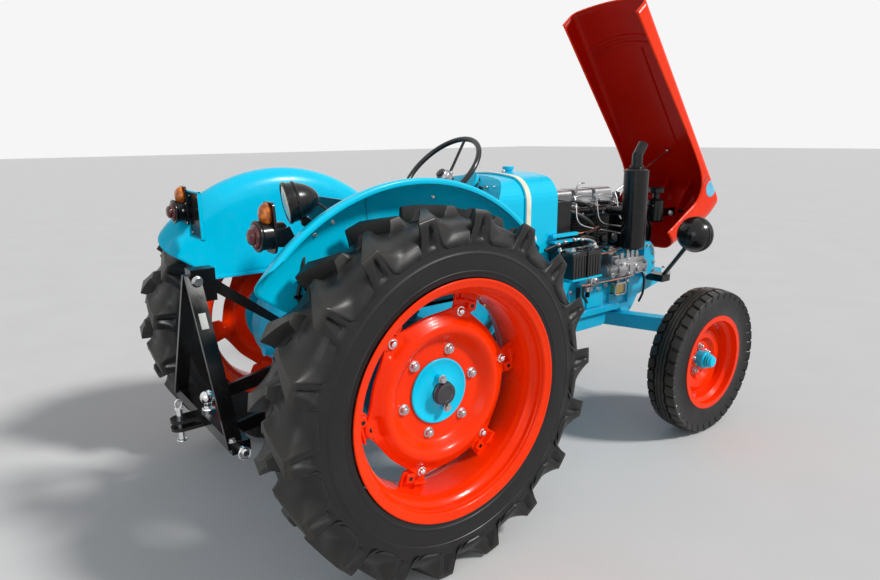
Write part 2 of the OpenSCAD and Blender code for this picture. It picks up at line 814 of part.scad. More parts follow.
module muffler() {
    color(black) from_axle() {
        translate([muffler_x, muffler_y, 0]) {
            rotate_extrude()
                polygon([
                    [0, muffler_z0],
                    [muffler_r - 10, muffler_z0],
                    [muffler_r, muffler_z0 + 10],
                    [muffler_r, muffler_z1 - 10],
                    [muffler_r - 10, muffler_z1],
                    [26, muffler_z1 + 10],
                    [24, muffler_z1 + 14],
                    [24, muffler_z1 + 72],
                    [0, muffler_z1 + 72]
                ]);
            rod([0, 0, muffler_z1 + 60], [0, -38, muffler_z1 + 112], 23);
        }
        translate([muffler_x, muffler_y, exhaust_z]) rotate([0, 90, 0]) cylinder(r = 21, h = -muffler_x - log_x);
        for (y = cylinder_y) translate([-log_x, y, exhaust_z]) rotate([0, 90, 0]) {
            cylinder(r = 17, h = log_x - fin_r);
            translate([0, 0, log_x - fin_r - 8]) cylinder(r = 30, h = 8);
        }
        translate([-log_x, cylinder_y[0] + 26, exhaust_z])
            rotate([90, 0, 0]) cylinder(r = 24, h = 52 + (cylinder_count - 1) * cylinder_pitch);
    }
}

pump_x = engine_half_w + 36;
pump_y = -engine_front + 55;
pump_z = 728;
lift_pump_y = -engine_rear - 146;

// Injection pump with its governor, the fuel lift pump and its glass
module injection_pump() {
    color(steel) from_axle() {
        translate([-pump_x - 30, pump_y, pump_z - 28]) cube([pump_x + 30 - engine_half_w, 180, 62]);
        translate([-pump_x - 24, pump_y + 14, pump_z + 34]) cube([44, 152, 12]);
        for (i = [0:2]) translate([-pump_x, pump_y + 32 + i * 50, pump_z + 33]) {
            cylinder(r = 12, h = 38);
            cylinder(r = 15, h = 22, $fn = 6);
        }
        translate([-pump_x, pump_y + 165, pump_z]) rotate([90, 0, 0]) cylinder(r = 34, h = 150);
        translate([-pump_x, pump_y + 160, pump_z]) rotate([-90, 0, 0]) {
            cylinder(r = 35, h = 44);
            cylinder(r = 28, h = 58);
        }
        translate([-engine_half_w - 22 - cover_t, lift_pump_y, 700]) {
            rotate([0, 90, 0]) cylinder(r = 30, h = 22);
            translate([22, -28, -28]) cube([cover_t, 56, 56]);
            translate([-8, 0, -2]) cylinder(r = 22, h = 34);
            translate([-8, 0, -52]) cylinder(r = 17, h = 52);
        }
    }
}

// Starter motor, generator and oil filter on the left side of the engine
module engine_left_side() {
    color(black) from_axle() {
        translate([engine_half_w + 52, -engine_rear - 40, 640]) rotate([90, 0, 0]) {
            cylinder(r = 52, h = 190);
            translate([0, 0, 190]) cylinder(r = 38, h = 16);
        }
        translate([engine_half_w, -engine_rear - 200, 610]) cube([52, 120, 60]);
        translate([engine_half_w + 66, -engine_front + 240, 756]) rotate([90, 0, 0]) {
            cylinder(r = 58, h = 170);
            translate([0, 0, 170]) cylinder(r = 22, h = 14);
            translate([0, 0, 184]) cylinder(r = 46, h = 16);
        }
        translate([engine_half_w, -engine_front + 110, 720]) cube([66, 90, 40]);
        translate([engine_half_w + 60, -engine_front + 150, 560]) cylinder(r = 42, h = 120);
        translate([engine_half_w, -engine_front + 125, 640]) cube([60, 50, 30]);
    }
}

battery_x0 = -385;
battery_y0 = -engine_rear + 5;
battery_size = [136, 184, 112];
tray_z = 768;
tray_t = 6;

module battery() {
    color(black) from_axle() translate([battery_x0, battery_y0, tray_z + tray_t]) {
        cube(battery_size);
        for (y = [34, battery_size[1] - 34])
            translate([battery_size[0] - 34, y, battery_size[2]]) cylinder(r = 10, h = 16);
    }
}

module battery_tray() {
    flare = engine_half_w + 25;
    color(cyan) from_axle() {
        translate([battery_x0 - 8, battery_y0 - 2, tray_z])
            cube([-battery_x0 + 8 - flare, battery_size[1] + 8, tray_t]);
        translate([-flare - 60, battery_y0 + 8, tray_z - 50]) cube([60, 40, 50]);
    }
}

bolster_half_w = 115;
bolster_top = 645;
bolster_front = engine_front + 350;
pivot_z = beam_z0 + beam_h / 2;
pivot_pin_r = 20;

module front_bolster() {
    color(cyan) from_axle() {
        across(-bolster_half_w, 2 * bolster_half_w)
            polygon([
                [-engine_front, beam_z0 - 14],
                [-engine_front - 44, beam_z0 - 14],
                [-engine_front - 50, 420],
                [-engine_front - 100, 470],
                [-engine_front - 138, 528],
                [-bolster_front, 572],
                [-bolster_front, bolster_top],
                [-engine_front - 170, bolster_top - 18],
                [-engine_front, bolster_top]
            ]);
        translate([0, -engine_front - 1, pivot_z])
            rotate([-90, 0, 0]) cylinder(r = pivot_pin_r, h = beam_t + 30);
    }
}

module front_axle() {
    color(cyan) from_axle() difference() {
        union() {
            forward(-wheelbase + beam_t / 2, beam_t)
                polygon([
                    [0, beam_z0],
                    [beam_knee_x, kingpin_boss_z0],
                    [kingpin_x, kingpin_boss_z0],
                    [kingpin_x, kingpin_boss_z0 + beam_h],
                    [beam_knee_x, kingpin_boss_z0 + beam_h],
                    [0, beam_z0 + beam_h],
                    [-beam_knee_x, kingpin_boss_z0 + beam_h],
                    [-kingpin_x, kingpin_boss_z0 + beam_h],
                    [-kingpin_x, kingpin_boss_z0],
                    [-beam_knee_x, kingpin_boss_z0]
                ]);
            both_sides() translate([kingpin_x, -wheelbase, kingpin_boss_z0])
                cylinder(r = kingpin_boss_r, h = kingpin_boss_z1 - kingpin_boss_z0);
            translate([0, -engine_front, pivot_z])
                rotate([-90, 0, 0]) cylinder(r = 48, h = engine_front - wheelbase + beam_t / 2 + 10);
        }
        both_sides() translate([kingpin_x, -wheelbase, kingpin_boss_z0 - 40])
            cylinder(r = kingpin_r + running_gap, h = kingpin_boss_z1 - kingpin_boss_z0 + 80);
        translate([0, -engine_front - 10, pivot_z])
            rotate([-90, 0, 0]) cylinder(r = pivot_pin_r + running_gap, h = 200);
        both_sides() translate([kingpin_x + 0.1, -wheelbase - 100, 300]) difference() {
            cube([100, 200, 300]);
            translate([0, 100, 0]) cylinder(r = kingpin_boss_r, h = 300);
        }
    }
}

fender_pad_z = rear_tyre_r + 210;
fender_foot_z = rear_tyre_r + 227;
fender_angle0 = 31;
fender_angle1 = 150;
fender_drop = 100;
fender_side = 70;
fender_lip = 8;
wall_r = fender_r - fender_drop;

// Quarter ellipse from the fender's wall to its top
function shoulder(drop, side, middle, a0, a1) = [
    for (i = [0:12]) let (a = a0 + (a1 - a0) * i / 12) [wall_r + drop * cos(a), middle + side * sin(a)]
];

module fender(side) {
    hub = [0, rear_tyre_r];
    middle = fender_x0 + fender_side;
    skin = concat(
        shoulder(fender_drop, fender_side, middle, -90, 0),
        [[fender_r, fender_x1 - 2], [fender_r - 2, fender_x1], [fender_r - fender_lip - 6, fender_x1]]
    );
    back = concat(
        [[fender_r - fender_lip - 6, fender_x1 - fender_t], [fender_r - fender_t, fender_x1 - fender_t]],
        shoulder(fender_drop - fender_t, fender_side - fender_t, middle, 0, -90)
    );
    color(cyan) from_axle() on_side(side) {
        translate([0, 0, rear_tyre_r]) rotate([90, 0, 90]) rotate([0, 0, fender_angle0])
            rotate_extrude(angle = fender_angle1 - fender_angle0, $fn = 96) polygon(concat(skin, back));
        across(fender_x0, fender_t)
            polygon(concat(
                arc(hub, wall_r + 1, fender_angle0, fender_angle1, 30),
                [[-470, fender_foot_z], [410, fender_foot_z], [462, fender_foot_z + 24]]
            ));
        translate([drum_x1 - 60, -50, fender_pad_z]) cube([fender_x0 + fender_t / 2 - drum_x1 + 60, 100, 6]);
        translate([fender_x0 - 6, -50, fender_pad_z]) cube([6 + fender_t / 2, 100, 90]);
    }
}

module footplates() {
    color(black) from_axle() both_sides() {
        translate([gearbox_half_w, -800, 500]) cube([270, 380, 6]);
        translate([gearbox_half_w, -780, 460]) cube([40, 20, 40]);
        translate([gearbox_half_w, -460, 460]) cube([40, 20, 40]);
    }
}

pedal_z = 545;
pedal_y = -560;

// Clutch pedal on the left and two brake pedals on the right, each on its boss
module pedals() {
    color(black) from_axle() for (x = [205, -180, -245]) {
        side = x > 0 ? 1 : -1;
        reach = abs(x) - gearbox_half_w + 14;
        translate([side * gearbox_half_w, pedal_y, pedal_z]) rotate([0, side * 90, 0]) cylinder(r = 18, h = reach);
        rod([x, pedal_y, pedal_z], [x, pedal_y - 120, pedal_z + 95], 9);
        translate([x, pedal_y - 120, pedal_z + 95]) rotate([-atan2(95, 120), 0, 0])
            translate([-26, -8, -32]) cube([52, 10, 64]);
    }
}

tank_half_w = 236;
tank_z0 = 840;
tank_z1 = 1215;
tank_front = engine_rear - 130;
tank_rear = tank_front - 195;
tank_round = 105;
cap_r = 26;
strap_w = 26;
strap_t = 3;
cowl_rear = tank_front - 385;
cowl_inset = 6;
dial_r = 50;
dial_y = -tank_front + 295;
dial_z = 1168;
dial_slope = 48;

// Section of the tank, with a gently crowned top
module tank_outline(inset) {
    w = tank_half_w - inset;
    r = tank_round - inset;
    corner = [tank_half_w - tank_round, tank_z1 - 12 - tank_round];
    right = arc(corner, r, 0, 78, 8);
    left = arc([-corner[0], corner[1]], r, 102, 180, 8);
    polygon(concat([[-w, tank_z0], [w, tank_z0]], right, bow(right[8], left[0], -12, 10), left));
}

module fuel_tank() {
    slot = column_r + 14;
    color(cyan) from_axle() {
        difference() {
            forward(-tank_rear, tank_front - tank_rear) tank_outline(0);
            across(-slot, 2 * slot)
                polygon([[-tank_rear + 10, tank_z0 - 10], [-tank_rear + 10, 1020], [-tank_front + 15, tank_z0 - 10]]);
        }
        translate([0, -tank_front + 75, tank_z1 - 6]) cylinder(r = cap_r - 5, h = 18);
        translate([0, -tank_front + 75, tank_z1 + 8]) cylinder(r = cap_r, h = 14);
    }
}

// Strap round the tank where the cowl meets it
module tank_strap() {
    color(cream) from_axle() forward(-tank_rear - 4, strap_w) difference() {
        tank_outline(-strap_t);
        tank_outline(0);
        translate([-400, tank_z0 - 1]) square([800, 4]);
    }
}

module dash_cowl() {
    slot = column_r + 14;
    color(cyan) from_axle() {
        difference() {
            union() {
                intersection() {
                    forward(-cowl_rear, tank_rear - cowl_rear) tank_outline(cowl_inset);
                    across(-400, 800)
                        polygon(concat(
                            [[-tank_rear, tank_z0], [-tank_rear, tank_z1]],
                            [[-tank_rear + 30, tank_z1]],
                            bow([-tank_rear + 60, tank_z1 - cowl_inset], [-cowl_rear, 960], 34, 10),
                            [[-cowl_rear, tank_z0]]
                        ));
                }
                translate([0, dial_y, dial_z]) rotate([-dial_slope, 0, 0]) cylinder(r = dial_r, h = 26);
            }
            across(-slot, 2 * slot)
                polygon([
                    [-cowl_rear + 40, tank_z0 - 10],
                    [-cowl_rear + 40, 1260],
                    [-cowl_rear - 10, 1180],
                    [-tank_rear - 20, 980],
                    [-tank_rear - 20, tank_z0 - 10]
                ]);
        }
        both_sides() difference() {
            translate([110, -tank_front + 20, gearbox_z1]) cube([40, 300, tank_z0 - gearbox_z1]);
            translate([100, box_y, cross_shaft_z])
                rotate([0, 90, 0]) cylinder(r = cross_shaft_r + 1, h = 60);
        }
    }
}

seat_y = -150;

module seat_frame() {
    color(black) from_axle() {
        translate([-40, seat_y - 100, gearbox_z1]) cube([80, 160, 10]);
        translate([-30, seat_y - 80, gearbox_z1 + 10]) cube([60, 20, 140]);
        translate([-30, seat_y - 80, gearbox_z1 + 150]) cube([60, 180, 12]);
        translate([-200, seat_y - 170, gearbox_z1 + 162]) cube([400, 340, 6]);
        translate([-200, seat_y + 164, gearbox_z1 + 162]) cube([400, 6, 210]);
    }
}

module seat_cushion() {
    z = gearbox_z1 + 168 + clearance;
    color(black) from_axle() {
        translate([-200, seat_y - 170, z]) cube([400, 290, 62]);
        translate([-200, seat_y + 122, z]) cube([400, 42 - clearance, 196]);
    }
}

module controls() {
    color(black) from_axle() {
        for (lever = [[0, -420, 1045, 20], [92, -480, 965, 16]]) {
            translate([lever[0], lever[1], gearbox_z1]) cylinder(r = 24, h = 8);
            rod([lever[0], lever[1], gearbox_z1 + 4], [lever[0], lever[1] + 20, lever[2]], 8);
            translate([lever[0], lever[1] + 20, lever[2]]) sphere(r = lever[3]);
        }
    }
}

lamp_x = 420;
lamp_y = -engine_front - 120;
lamp_z = 887;
lamp_r = 85;

module headlamps() {
    color(black) from_axle() both_sides() {
        translate([bolster_half_w, -bolster_front + 70, 600]) cube([100, 70, 38]);
        rod([195, -bolster_front + 105, 630], [lamp_x - 18, lamp_y, lamp_z - 50], 11);
        translate([lamp_x, lamp_y + 62, lamp_z]) rotate([90, 0, 0]) rotate_extrude()
            polygon(concat(
                [[0, 0]],
                [for (i = [1:8]) let (t = i / 8) [lamp_r * sin(90 * t), 90 * (1 - cos(90 * t))]],
                [[lamp_r + 3, 92], [lamp_r + 3, 106], [0, 112]]
            ));
    }
}

tail_x = 412;
tail_y = fender_r - 224;
tail_z = rear_tyre_r + 518;
tail_plate_t = 6;

module tail_lamps() {
    color(black) from_axle() both_sides() {
        translate([tail_x, tail_y - 6, tail_z]) rotate([-90, 0, 0]) {
            cylinder(r = 44, h = 46);
            cylinder(r = 36, h = 56);
        }
        translate([tail_x, tail_y + 18, tail_z + 30]) cylinder(r = 24, h = 34);
        across(fender_x0 - clearance - tail_plate_t, tail_plate_t)
            polygon([
                [tail_y - 111, tail_z - 103],
                [tail_y - 36, tail_z - 153],
                [tail_y, tail_z - 33],
                [tail_y, tail_z + 27],
                [tail_y - 41, tail_z + 27]
            ]);
    }
}

work_x = -430;
work_y = fender_r - 314;
work_z = rear_tyre_r + 610;

module work_lamp() {
    color(black) from_axle() {
        translate([work_x, work_y - 60, work_z]) rotate([-90, 0, 0]) rotate_extrude()
            polygon(concat(
                [[0, 0]],
                [for (i = [1:8]) let (t = i / 8) [60 * sin(90 * t), 84 * (1 - cos(90 * t))]],
                [[63, 86], [63, 98], [0, 104]]
            ));
        translate([-fender_x0 + clearance, work_y - 50, work_z - 235]) cube([12, 20, 220]);
    }
}

plate_w = 150;
plate_h = 182;
plate_y = tail_y - 18;
plate_z = tail_z - 100;

module plate_holder() {
    plate_x1 = 395;
    arm_end = fender_x0 - clearance - tail_plate_t;
    color(cyan) from_axle() {
        translate([plate_x1 - plate_w, plate_y, plate_z]) cube([plate_w, 6, plate_h]);
        translate([plate_x1 - 30, plate_y - 8, tail_z - 28]) cube([arm_end - plate_x1 + 30, 8, 34]);
    }
}

crossbar_h = 40;
leg_w = 48;
leg_t = 16;

module hitch_frame() {
    bar_y = hitch_reach;
    color(black) from_axle() {
        translate([-crossbar_half, bar_y - 25, crossbar_z - crossbar_h / 2]) cube([2 * crossbar_half, 60, crossbar_h]);
        both_sides() {
            forward(bar_y + 45, leg_w)
                polygon([
                    [crossbar_half, crossbar_z],
                    [crossbar_half - leg_t, crossbar_z],
                    [20 - leg_t, apex_z + 30],
                    [20, apex_z + 30]
                ]);
            across(gearbox_half_w, 16)
                polygon([[125, 452], [125, 520], [bar_y - 25, crossbar_z + 20], [bar_y - 25, crossbar_z - 20]]);
        }
        translate([-30, bar_y - 50, apex_z - 60]) cube([60, 80, 110]);
        across(-20, 40)
            polygon([
                [gearbox_rear, gearbox_z1 - 94],
                [gearbox_rear, gearbox_z1 - 62],
                [bar_y - 40, apex_z + 20],
                [bar_y - 40, apex_z - 30]
            ]);
    }
}

module tow_ball() {
    color(steel) from_axle() translate([0, hitch_reach + 8, crossbar_z + crossbar_h / 2]) {
        cylinder(r = 24, h = 8);
        cylinder(r = 12, h = 40);
        translate([0, 0, 50]) sphere(d = ball_d);
    }
}

module tow_clevis() {
    color(black) from_axle() translate([0, hitch_reach + 35, crossbar_z]) {
        for (z = [-20, 8])
            translate([0, 0, z]) difference() {
                union() {
                    translate([-32, 0, 0]) cube([64, 70, 12]);
                    translate([0, 70, 0]) cylinder(r = 32, h = 12);
                }
                translate([0, 70, -1]) cylinder(r = 11, h = 14);
            }
        translate([-32, 0, -20]) cube([64, 10, 40]);
    }
}

// Closed hood, from the ground below the rear axle
hood_rear_y = -tank_front - 2;
hood_top_rear = 1182;
hood_top_front = 1150;
nose_y = hinge_y - 77;
nose_z0 = 625;
hood_edge_z = 1042;

module hood_solid(inset) {
    open = inset > 0 ? 20 : 0;
    slope = atan((hood_top_rear - hood_top_front) / 900);
    plan_front = nose_y + inset;
    wr = hood_half_rear - inset;
    wn = hood_half_nose - inset;
    intersection() {
        across(-400, 800)
            polygon(concat(
                [[hood_rear_y + open, hood_top_rear - inset]],
                arc([nose_y + 150 + inset, hood_top_front - 150 - inset], 150, 80, 180, 10),
                [[hinge_y - 65 + inset, 940], [hinge_y + 45 + inset, nose_z0 - open], [hinge_y + 170 + open, nose_z0 - open]],
                [[hinge_y + 145 + open, 800], [hinge_y + 120 + open, 900]],
                [[hinge_y + 150 + open, 1000 - open], [hinge_y + 235 + open, hood_edge_z - 8 - open]],
                [[hood_rear_y + open, hood_edge_z - open]]
            ));
        translate([0, 0, 400]) linear_extrude(1000)
            polygon(concat(
                [[wr, hood_rear_y + 30], [wn, hinge_y + 35]],
                arc([wn - 90, plan_front + 90], 90, 0, -90, 6),
                arc([-wn + 90, plan_front + 90], 90, -90, -180, 6),
                [[-wn, hinge_y + 35], [-wr, hood_rear_y + 30]]
            ));
        translate([0, hood_rear_y, hood_top_rear - 1182]) rotate([-slope, 0, 0]) forward(60, 1500)
            polygon(concat(
                [[-400, 300], [400, 300]],
                arc([0, 1182 - inset - 560], 560, 66, 114, 12)
            ));
    }
}

// The hood's own pieces, as it lies when closed
module hood_closed() {
    lug_x = hinge_arm_x + 10 + 1;
    difference() {
        union() {
            difference() {
                hood_solid(0);
                hood_solid(hood_t);
            }
            both_sides() intersection() {
                hood_solid(hood_t / 2);
                across(lug_x, 10)
                    polygon([
                        [hinge_y - 24, hinge_z],
                        [hinge_y - 24, 1140],
                        [hinge_y + 200, 1180],
                        [hinge_y + 60, 1000],
                        [hinge_y + 22, hinge_z - 22],
                        [hinge_y - 10, hinge_z - 24]
                    ]);
            }
            stay_lug();
        }
        translate([-200, hinge_y, hinge_z]) rotate([0, 90, 0]) cylinder(r = hinge_pin_r + running_gap, h = 400);
    }
}

module hood() {
    color(orange) from_axle() translate([0, hinge_y, hinge_z]) rotate([hood_open, 0, 0])
        translate([0, -hinge_y, -hinge_z]) hood_closed();
}

// Hood stay: its pin on the closed hood, and its foot on the engine
stay_pin = [hinge_y + 278, 1134];
stay_r = 5;
stay_foot_z = 1076;
stay_foot_y = engine_front + 61;
stay_pin_r = 5;
hinge_arm_x = 58;

module stay_lug() {
    intersection() {
        hood_solid(hood_t / 2);
        difference() {
            translate([9, stay_pin[0] - 12, stay_pin[1] - 12]) cube([6, 24, 60]);
            translate([0, stay_pin[0], stay_pin[1]])
                rotate([0, 90, 0]) cylinder(r = stay_pin_r + running_gap, h = 30);
        }
    }
}

function hood_point(p) = let (d = [p[0] - hinge_y, p[1] - hinge_z])
    [hinge_y + d[0] * cos(hood_open) - d[1] * sin(hood_open),
     hinge_z + d[0] * sin(hood_open) + d[1] * cos(hood_open)];

module hood_stay() {
    top = hood_point(stay_pin);
    slope = atan2(top[1] - stay_foot_z, -stay_foot_y - top[0]);
    foot = [-stay_foot_y, stay_foot_z + clearance + stay_r * cos(slope)];
    color(steel) from_axle() {
        rod([0, top[0], top[1]], [0, foot[0], foot[1]], stay_r);
        translate([-8, top[0], top[1]]) rotate([0, 90, 0]) cylinder(r = 9, h = 16);
        translate([0, top[0], top[1]]) rotate([0, 90, 0]) cylinder(r = stay_pin_r, h = 16);
    }
}

tie_pin_r = 9;
pitman_pin_r = 8;
pitman_t = 16;
cross_shaft_r = 14;
wheel_shaft_r = 10;
pto_z = 620;
pto_r = 17.45;
pto_len = 76;

transmission_housing();
rear_axle_housings();
clutch_housing();
engine_block();
oil_pan();
cylinders();
rocker_covers();
fan_housing();
muffler();
air_cleaner();
injection_pump();
engine_left_side();
battery();
battery_tray();
front_bolster();
front_axle();
fender(1);  // fender_left
fender(-1);  // fender_right
footplates();
pedals();
dash_cowl();
fuel_tank();
tank_strap();
steering_column();
seat_frame();
seat_cushion();
controls();
headlamps();
tail_lamps();
work_lamp();
plate_holder();
hitch_frame();
tow_ball();
tow_clevis();
color(rubber) rear_wheel_piece(1) rear_tyre();  // rear_tyre_left
color(rubber) rear_wheel_piece(-1) rear_tyre();  // rear_tyre_right
color(orange) rear_wheel_piece(1) rear_rim();  // rear_rim_left
color(orange) rear_wheel_piece(-1) rear_rim();  // rear_rim_right
color(orange) rear_wheel_piece(1) rear_disc();  // rear_disc_left
color(orange) rear_wheel_piece(-1) rear_disc();  // rear_disc_right
color(cyan) rear_wheel_piece(1) rear_hub();  // rear_hub_left
color(cyan) rear_wheel_piece(-1) rear_hub();  // rear_hub_right
color(rubber) front_wheel_piece(1) front_tyre();  // front_tyre_left
color(rubber) front_wheel_piece(-1) front_tyre();  // front_tyre_right
color(orange) front_wheel_piece(1) front_wheel();  // front_wheel_left
color(orange) front_wheel_piece(-1) front_wheel();  // front_wheel_right
color(cyan) front_wheel_piece(1) front_hub();  // front_hub_left
color(cyan) front_wheel_piece(-1) front_hub();  // front_hub_right
color(black) knuckle(1);  // knuckle_left
color(black) knuckle(-1);  // knuckle_right
tie_rod();
pitman_arm();
drag_link();
steering_wheel();
hood();
hood_stay();
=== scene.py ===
import json
from math import asin, copysign, cos, degrees, dist, exp, hypot, pi, radians, sin, sqrt, tau

import bmesh
import bpy
import numpy as np
from mathutils import Matrix, Vector

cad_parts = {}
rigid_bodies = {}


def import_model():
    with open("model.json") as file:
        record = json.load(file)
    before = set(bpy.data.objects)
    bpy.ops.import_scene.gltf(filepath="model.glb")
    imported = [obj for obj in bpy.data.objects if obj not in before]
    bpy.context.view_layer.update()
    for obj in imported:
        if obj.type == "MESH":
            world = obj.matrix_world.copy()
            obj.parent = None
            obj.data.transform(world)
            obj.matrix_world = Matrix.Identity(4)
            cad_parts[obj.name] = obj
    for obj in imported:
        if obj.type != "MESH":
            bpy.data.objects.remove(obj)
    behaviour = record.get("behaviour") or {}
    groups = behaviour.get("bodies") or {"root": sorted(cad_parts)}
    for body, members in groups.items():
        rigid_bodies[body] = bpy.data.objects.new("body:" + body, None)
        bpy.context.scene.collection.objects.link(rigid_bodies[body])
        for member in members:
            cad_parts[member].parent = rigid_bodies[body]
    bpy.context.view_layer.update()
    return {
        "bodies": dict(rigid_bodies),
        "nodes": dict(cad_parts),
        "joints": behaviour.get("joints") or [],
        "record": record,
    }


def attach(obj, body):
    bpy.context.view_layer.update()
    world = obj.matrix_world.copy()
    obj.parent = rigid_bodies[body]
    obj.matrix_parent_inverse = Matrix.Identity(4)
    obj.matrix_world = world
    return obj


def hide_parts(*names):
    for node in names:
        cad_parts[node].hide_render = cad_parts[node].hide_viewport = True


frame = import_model()
NODES = frame["nodes"]

# Sizes of the tractor in millimetres, from the ground below the rear axle
AXLE_Y = 800.0
WHEELBASE = 1550.0
REAR_TRACK, FRONT_TRACK = 1250.0, 1245.0
REAR_R, FRONT_R = 585.0, 340.0


def at(x, y, z):
    """A point in metres, from millimetres measured from the ground below the rear axle."""
    return Vector((x / 1000, (y + AXLE_Y) / 1000, z / 1000))


def wheel_frame(side, track, y, z):
    """Frame of a wheel, +Z outward, for the left (1) or right (-1) side. Local units are metres."""
    left = Matrix(((0, 0, 1, 0), (0, 1, 0, 0), (-1, 0, 0, 0), (0, 0, 0, 1)))
    place = Matrix.Translation(at(track / 2, y, z)) @ left
    return place if side > 0 else Matrix.Scale(-1, 4, (1, 0, 0)) @ place


# Materials

class Look:
    """A material under construction: nodes that take object coordinates and end in one shader."""

    def __init__(self, name):
        self.material = bpy.data.materials.new(name)
        self.material.use_nodes = True
        self.nodes, self.links = self.material.node_tree.nodes, self.material.node_tree.links
        self.nodes.clear()
        out = self.nodes.new("ShaderNodeOutputMaterial")
        self.shader = self.nodes.new("ShaderNodeBsdfPrincipled")
        self.links.new(self.shader.outputs["BSDF"], out.inputs["Surface"])
        self.coords = self.nodes.new("ShaderNodeTexCoord").outputs["Object"]

    def put(self, socket, value):
        """Sets a shader socket to a constant, or links a node's output to it."""
        if isinstance(value, (int, float)):
            self.shader.inputs[socket].default_value = value
        else:
            self.links.new(value, self.shader.inputs[socket])

    def noise(self, scale, detail=4.0, rough=0.55):
        n = self.nodes.new("ShaderNodeTexNoise")
        for socket, value in (("Scale", scale), ("Detail", detail), ("Roughness", rough)):
            n.inputs[socket].default_value = value
        self.links.new(self.coords, n.inputs["Vector"])
        return n.outputs["Fac"]

    def ramp(self, source, *stops):
        """Maps a factor to greys or colours at the given stops."""
        r = self.nodes.new("ShaderNodeValToRGB")
        elements = r.color_ramp.elements
        while len(elements) < len(stops):
            elements.new(0.5)
        for item, (pos, value) in zip(elements, stops):
            item.position = pos
            item.color = (*value, 1) if isinstance(value, tuple) else (value, value, value, 1)
        self.links.new(source, r.inputs["Fac"])
        return r.outputs["Color"]

    def mix(self, fac, a, b):
        m = self.nodes.new("ShaderNodeMix")
        m.data_type = "RGBA"
        for value, socket in ((fac, m.inputs[0]), (a, m.inputs[6]), (b, m.inputs[7])):
            if isinstance(value, tuple):
                socket.default_value = (*value, 1)
            else:
                self.links.new(value, socket)
        return m.outputs[2]

    def bump(self, height, strength, distance, before=None):
        b = self.nodes.new("ShaderNodeBump")
        b.inputs["Strength"].default_value = strength
        b.inputs["Distance"].default_value = distance
        self.links.new(height, b.inputs["Height"])
        if before:
            self.links.new(before, b.inputs["Normal"])
        return b.outputs["Normal"]


def paint(name, colour, shade, rough=0.2, peel=0.12, dust=0.05, gleam=0.2):
    """Glossy enamel with a faint orange peel, slow colour drift, small chips and dust."""
    k = Look(name)
    dust_colour, chip_colour = (0.30, 0.27, 0.22), tuple(v * 0.45 for v in shade)
    drift = k.ramp(k.noise(3.2, 3), (0.3, colour), (0.72, shade))
    chips = k.ramp(k.noise(190, 3, 0.6), (0.0, 0.0), (0.735, 0.0), (0.76, 1.0))
    dirt = k.noise(21, 8, 0.7)
    dusty = k.mix(k.ramp(dirt, (0.5, 0.0), (0.85, dust)), drift, dust_colour)
    k.put("Base Color", k.mix(chips, dusty, chip_colour))
    k.put("Roughness", k.ramp(dirt, (0.35, rough), (0.8, rough + 0.16)))
    k.put("Specular IOR Level", gleam)
    k.put("Coat Weight", 0.06)
    k.put("Coat Roughness", 0.06)
    fine = k.bump(k.noise(140, 2, 0.5), peel, 0.0006)
    k.put("Normal", k.bump(k.noise(9, 2, 0.5), 0.25, 0.0022, fine))
    return k.material


def cast(name, colour, shade, rough=0.4, metal=0.0, grain=0.5, scale=160):
    """Painted or bare casting with a sandy grain."""
    k = Look(name)
    k.put("Base Color", k.ramp(k.noise(7, 5, 0.6), (0.3, colour), (0.7, shade)))
    sand = k.noise(scale, 5, 0.65)
    k.put("Roughness", k.ramp(sand, (0.3, rough), (0.75, rough + 0.2)))
    k.put("Metallic", metal)
    k.put("Normal", k.bump(sand, grain, 0.0012))
    return k.material


def metal(name, colour, rough=0.25):
    """Bare or plated metal with fine lines and small stains."""
    k = Look(name)
    stain = (0.2, 0.17, 0.14)
    lines = k.noise(60, 4, 0.6)
    k.put("Base Color", k.mix(k.ramp(k.noise(34, 6, 0.7), (0.55, 0.0), (0.82, 0.55)), colour, stain))
    k.put("Roughness", k.ramp(lines, (0.3, rough), (0.75, rough + 0.15)))
    k.put("Metallic", 1.0)
    k.put("Normal", k.bump(lines, 0.12, 0.0004))
    return k.material


def rubber(name, colour, dusty, rough=0.55, dust=0.5, grain=0.4, worn_colour=(0.03, 0.03, 0.03)):
    """Tyre rubber, greyer where it is worn and dusty in patches."""
    k = Look(name)
    slow = k.noise(9, 8, 0.7)
    worn = k.nodes.new("ShaderNodeAttribute")
    worn.attribute_name = "worn"
    tread = k.mix(worn.outputs["Fac"], colour, worn_colour)
    k.put("Base Color", k.mix(k.ramp(slow, (0.45, 0.0), (0.85, dust)), tread, dusty))
    k.put("Specular IOR Level", 0.4)
    k.put("Roughness", k.ramp(slow, (0.3, rough - 0.1), (0.75, rough + 0.25)))
    k.put("Normal", k.bump(k.noise(240, 4, 0.6), grain, 0.0008))
    return k.material


def plastic(name, colour, rough=0.2, grain=0.1, scale=300):
    """Moulded plastic, vinyl or a smooth enamel, with an even grain."""
    k = Look(name)
    slow = k.noise(12, 4, 0.6)
    k.put("Base Color", k.ramp(slow, (0.3, colour), (0.75, tuple(v * 1.5 + 0.004 for v in colour))))
    k.put("Roughness", k.ramp(slow, (0.3, rough), (0.8, rough + 0.12)))
    k.put("Normal", k.bump(k.noise(scale, 3, 0.5), grain, 0.0006))
    return k.material


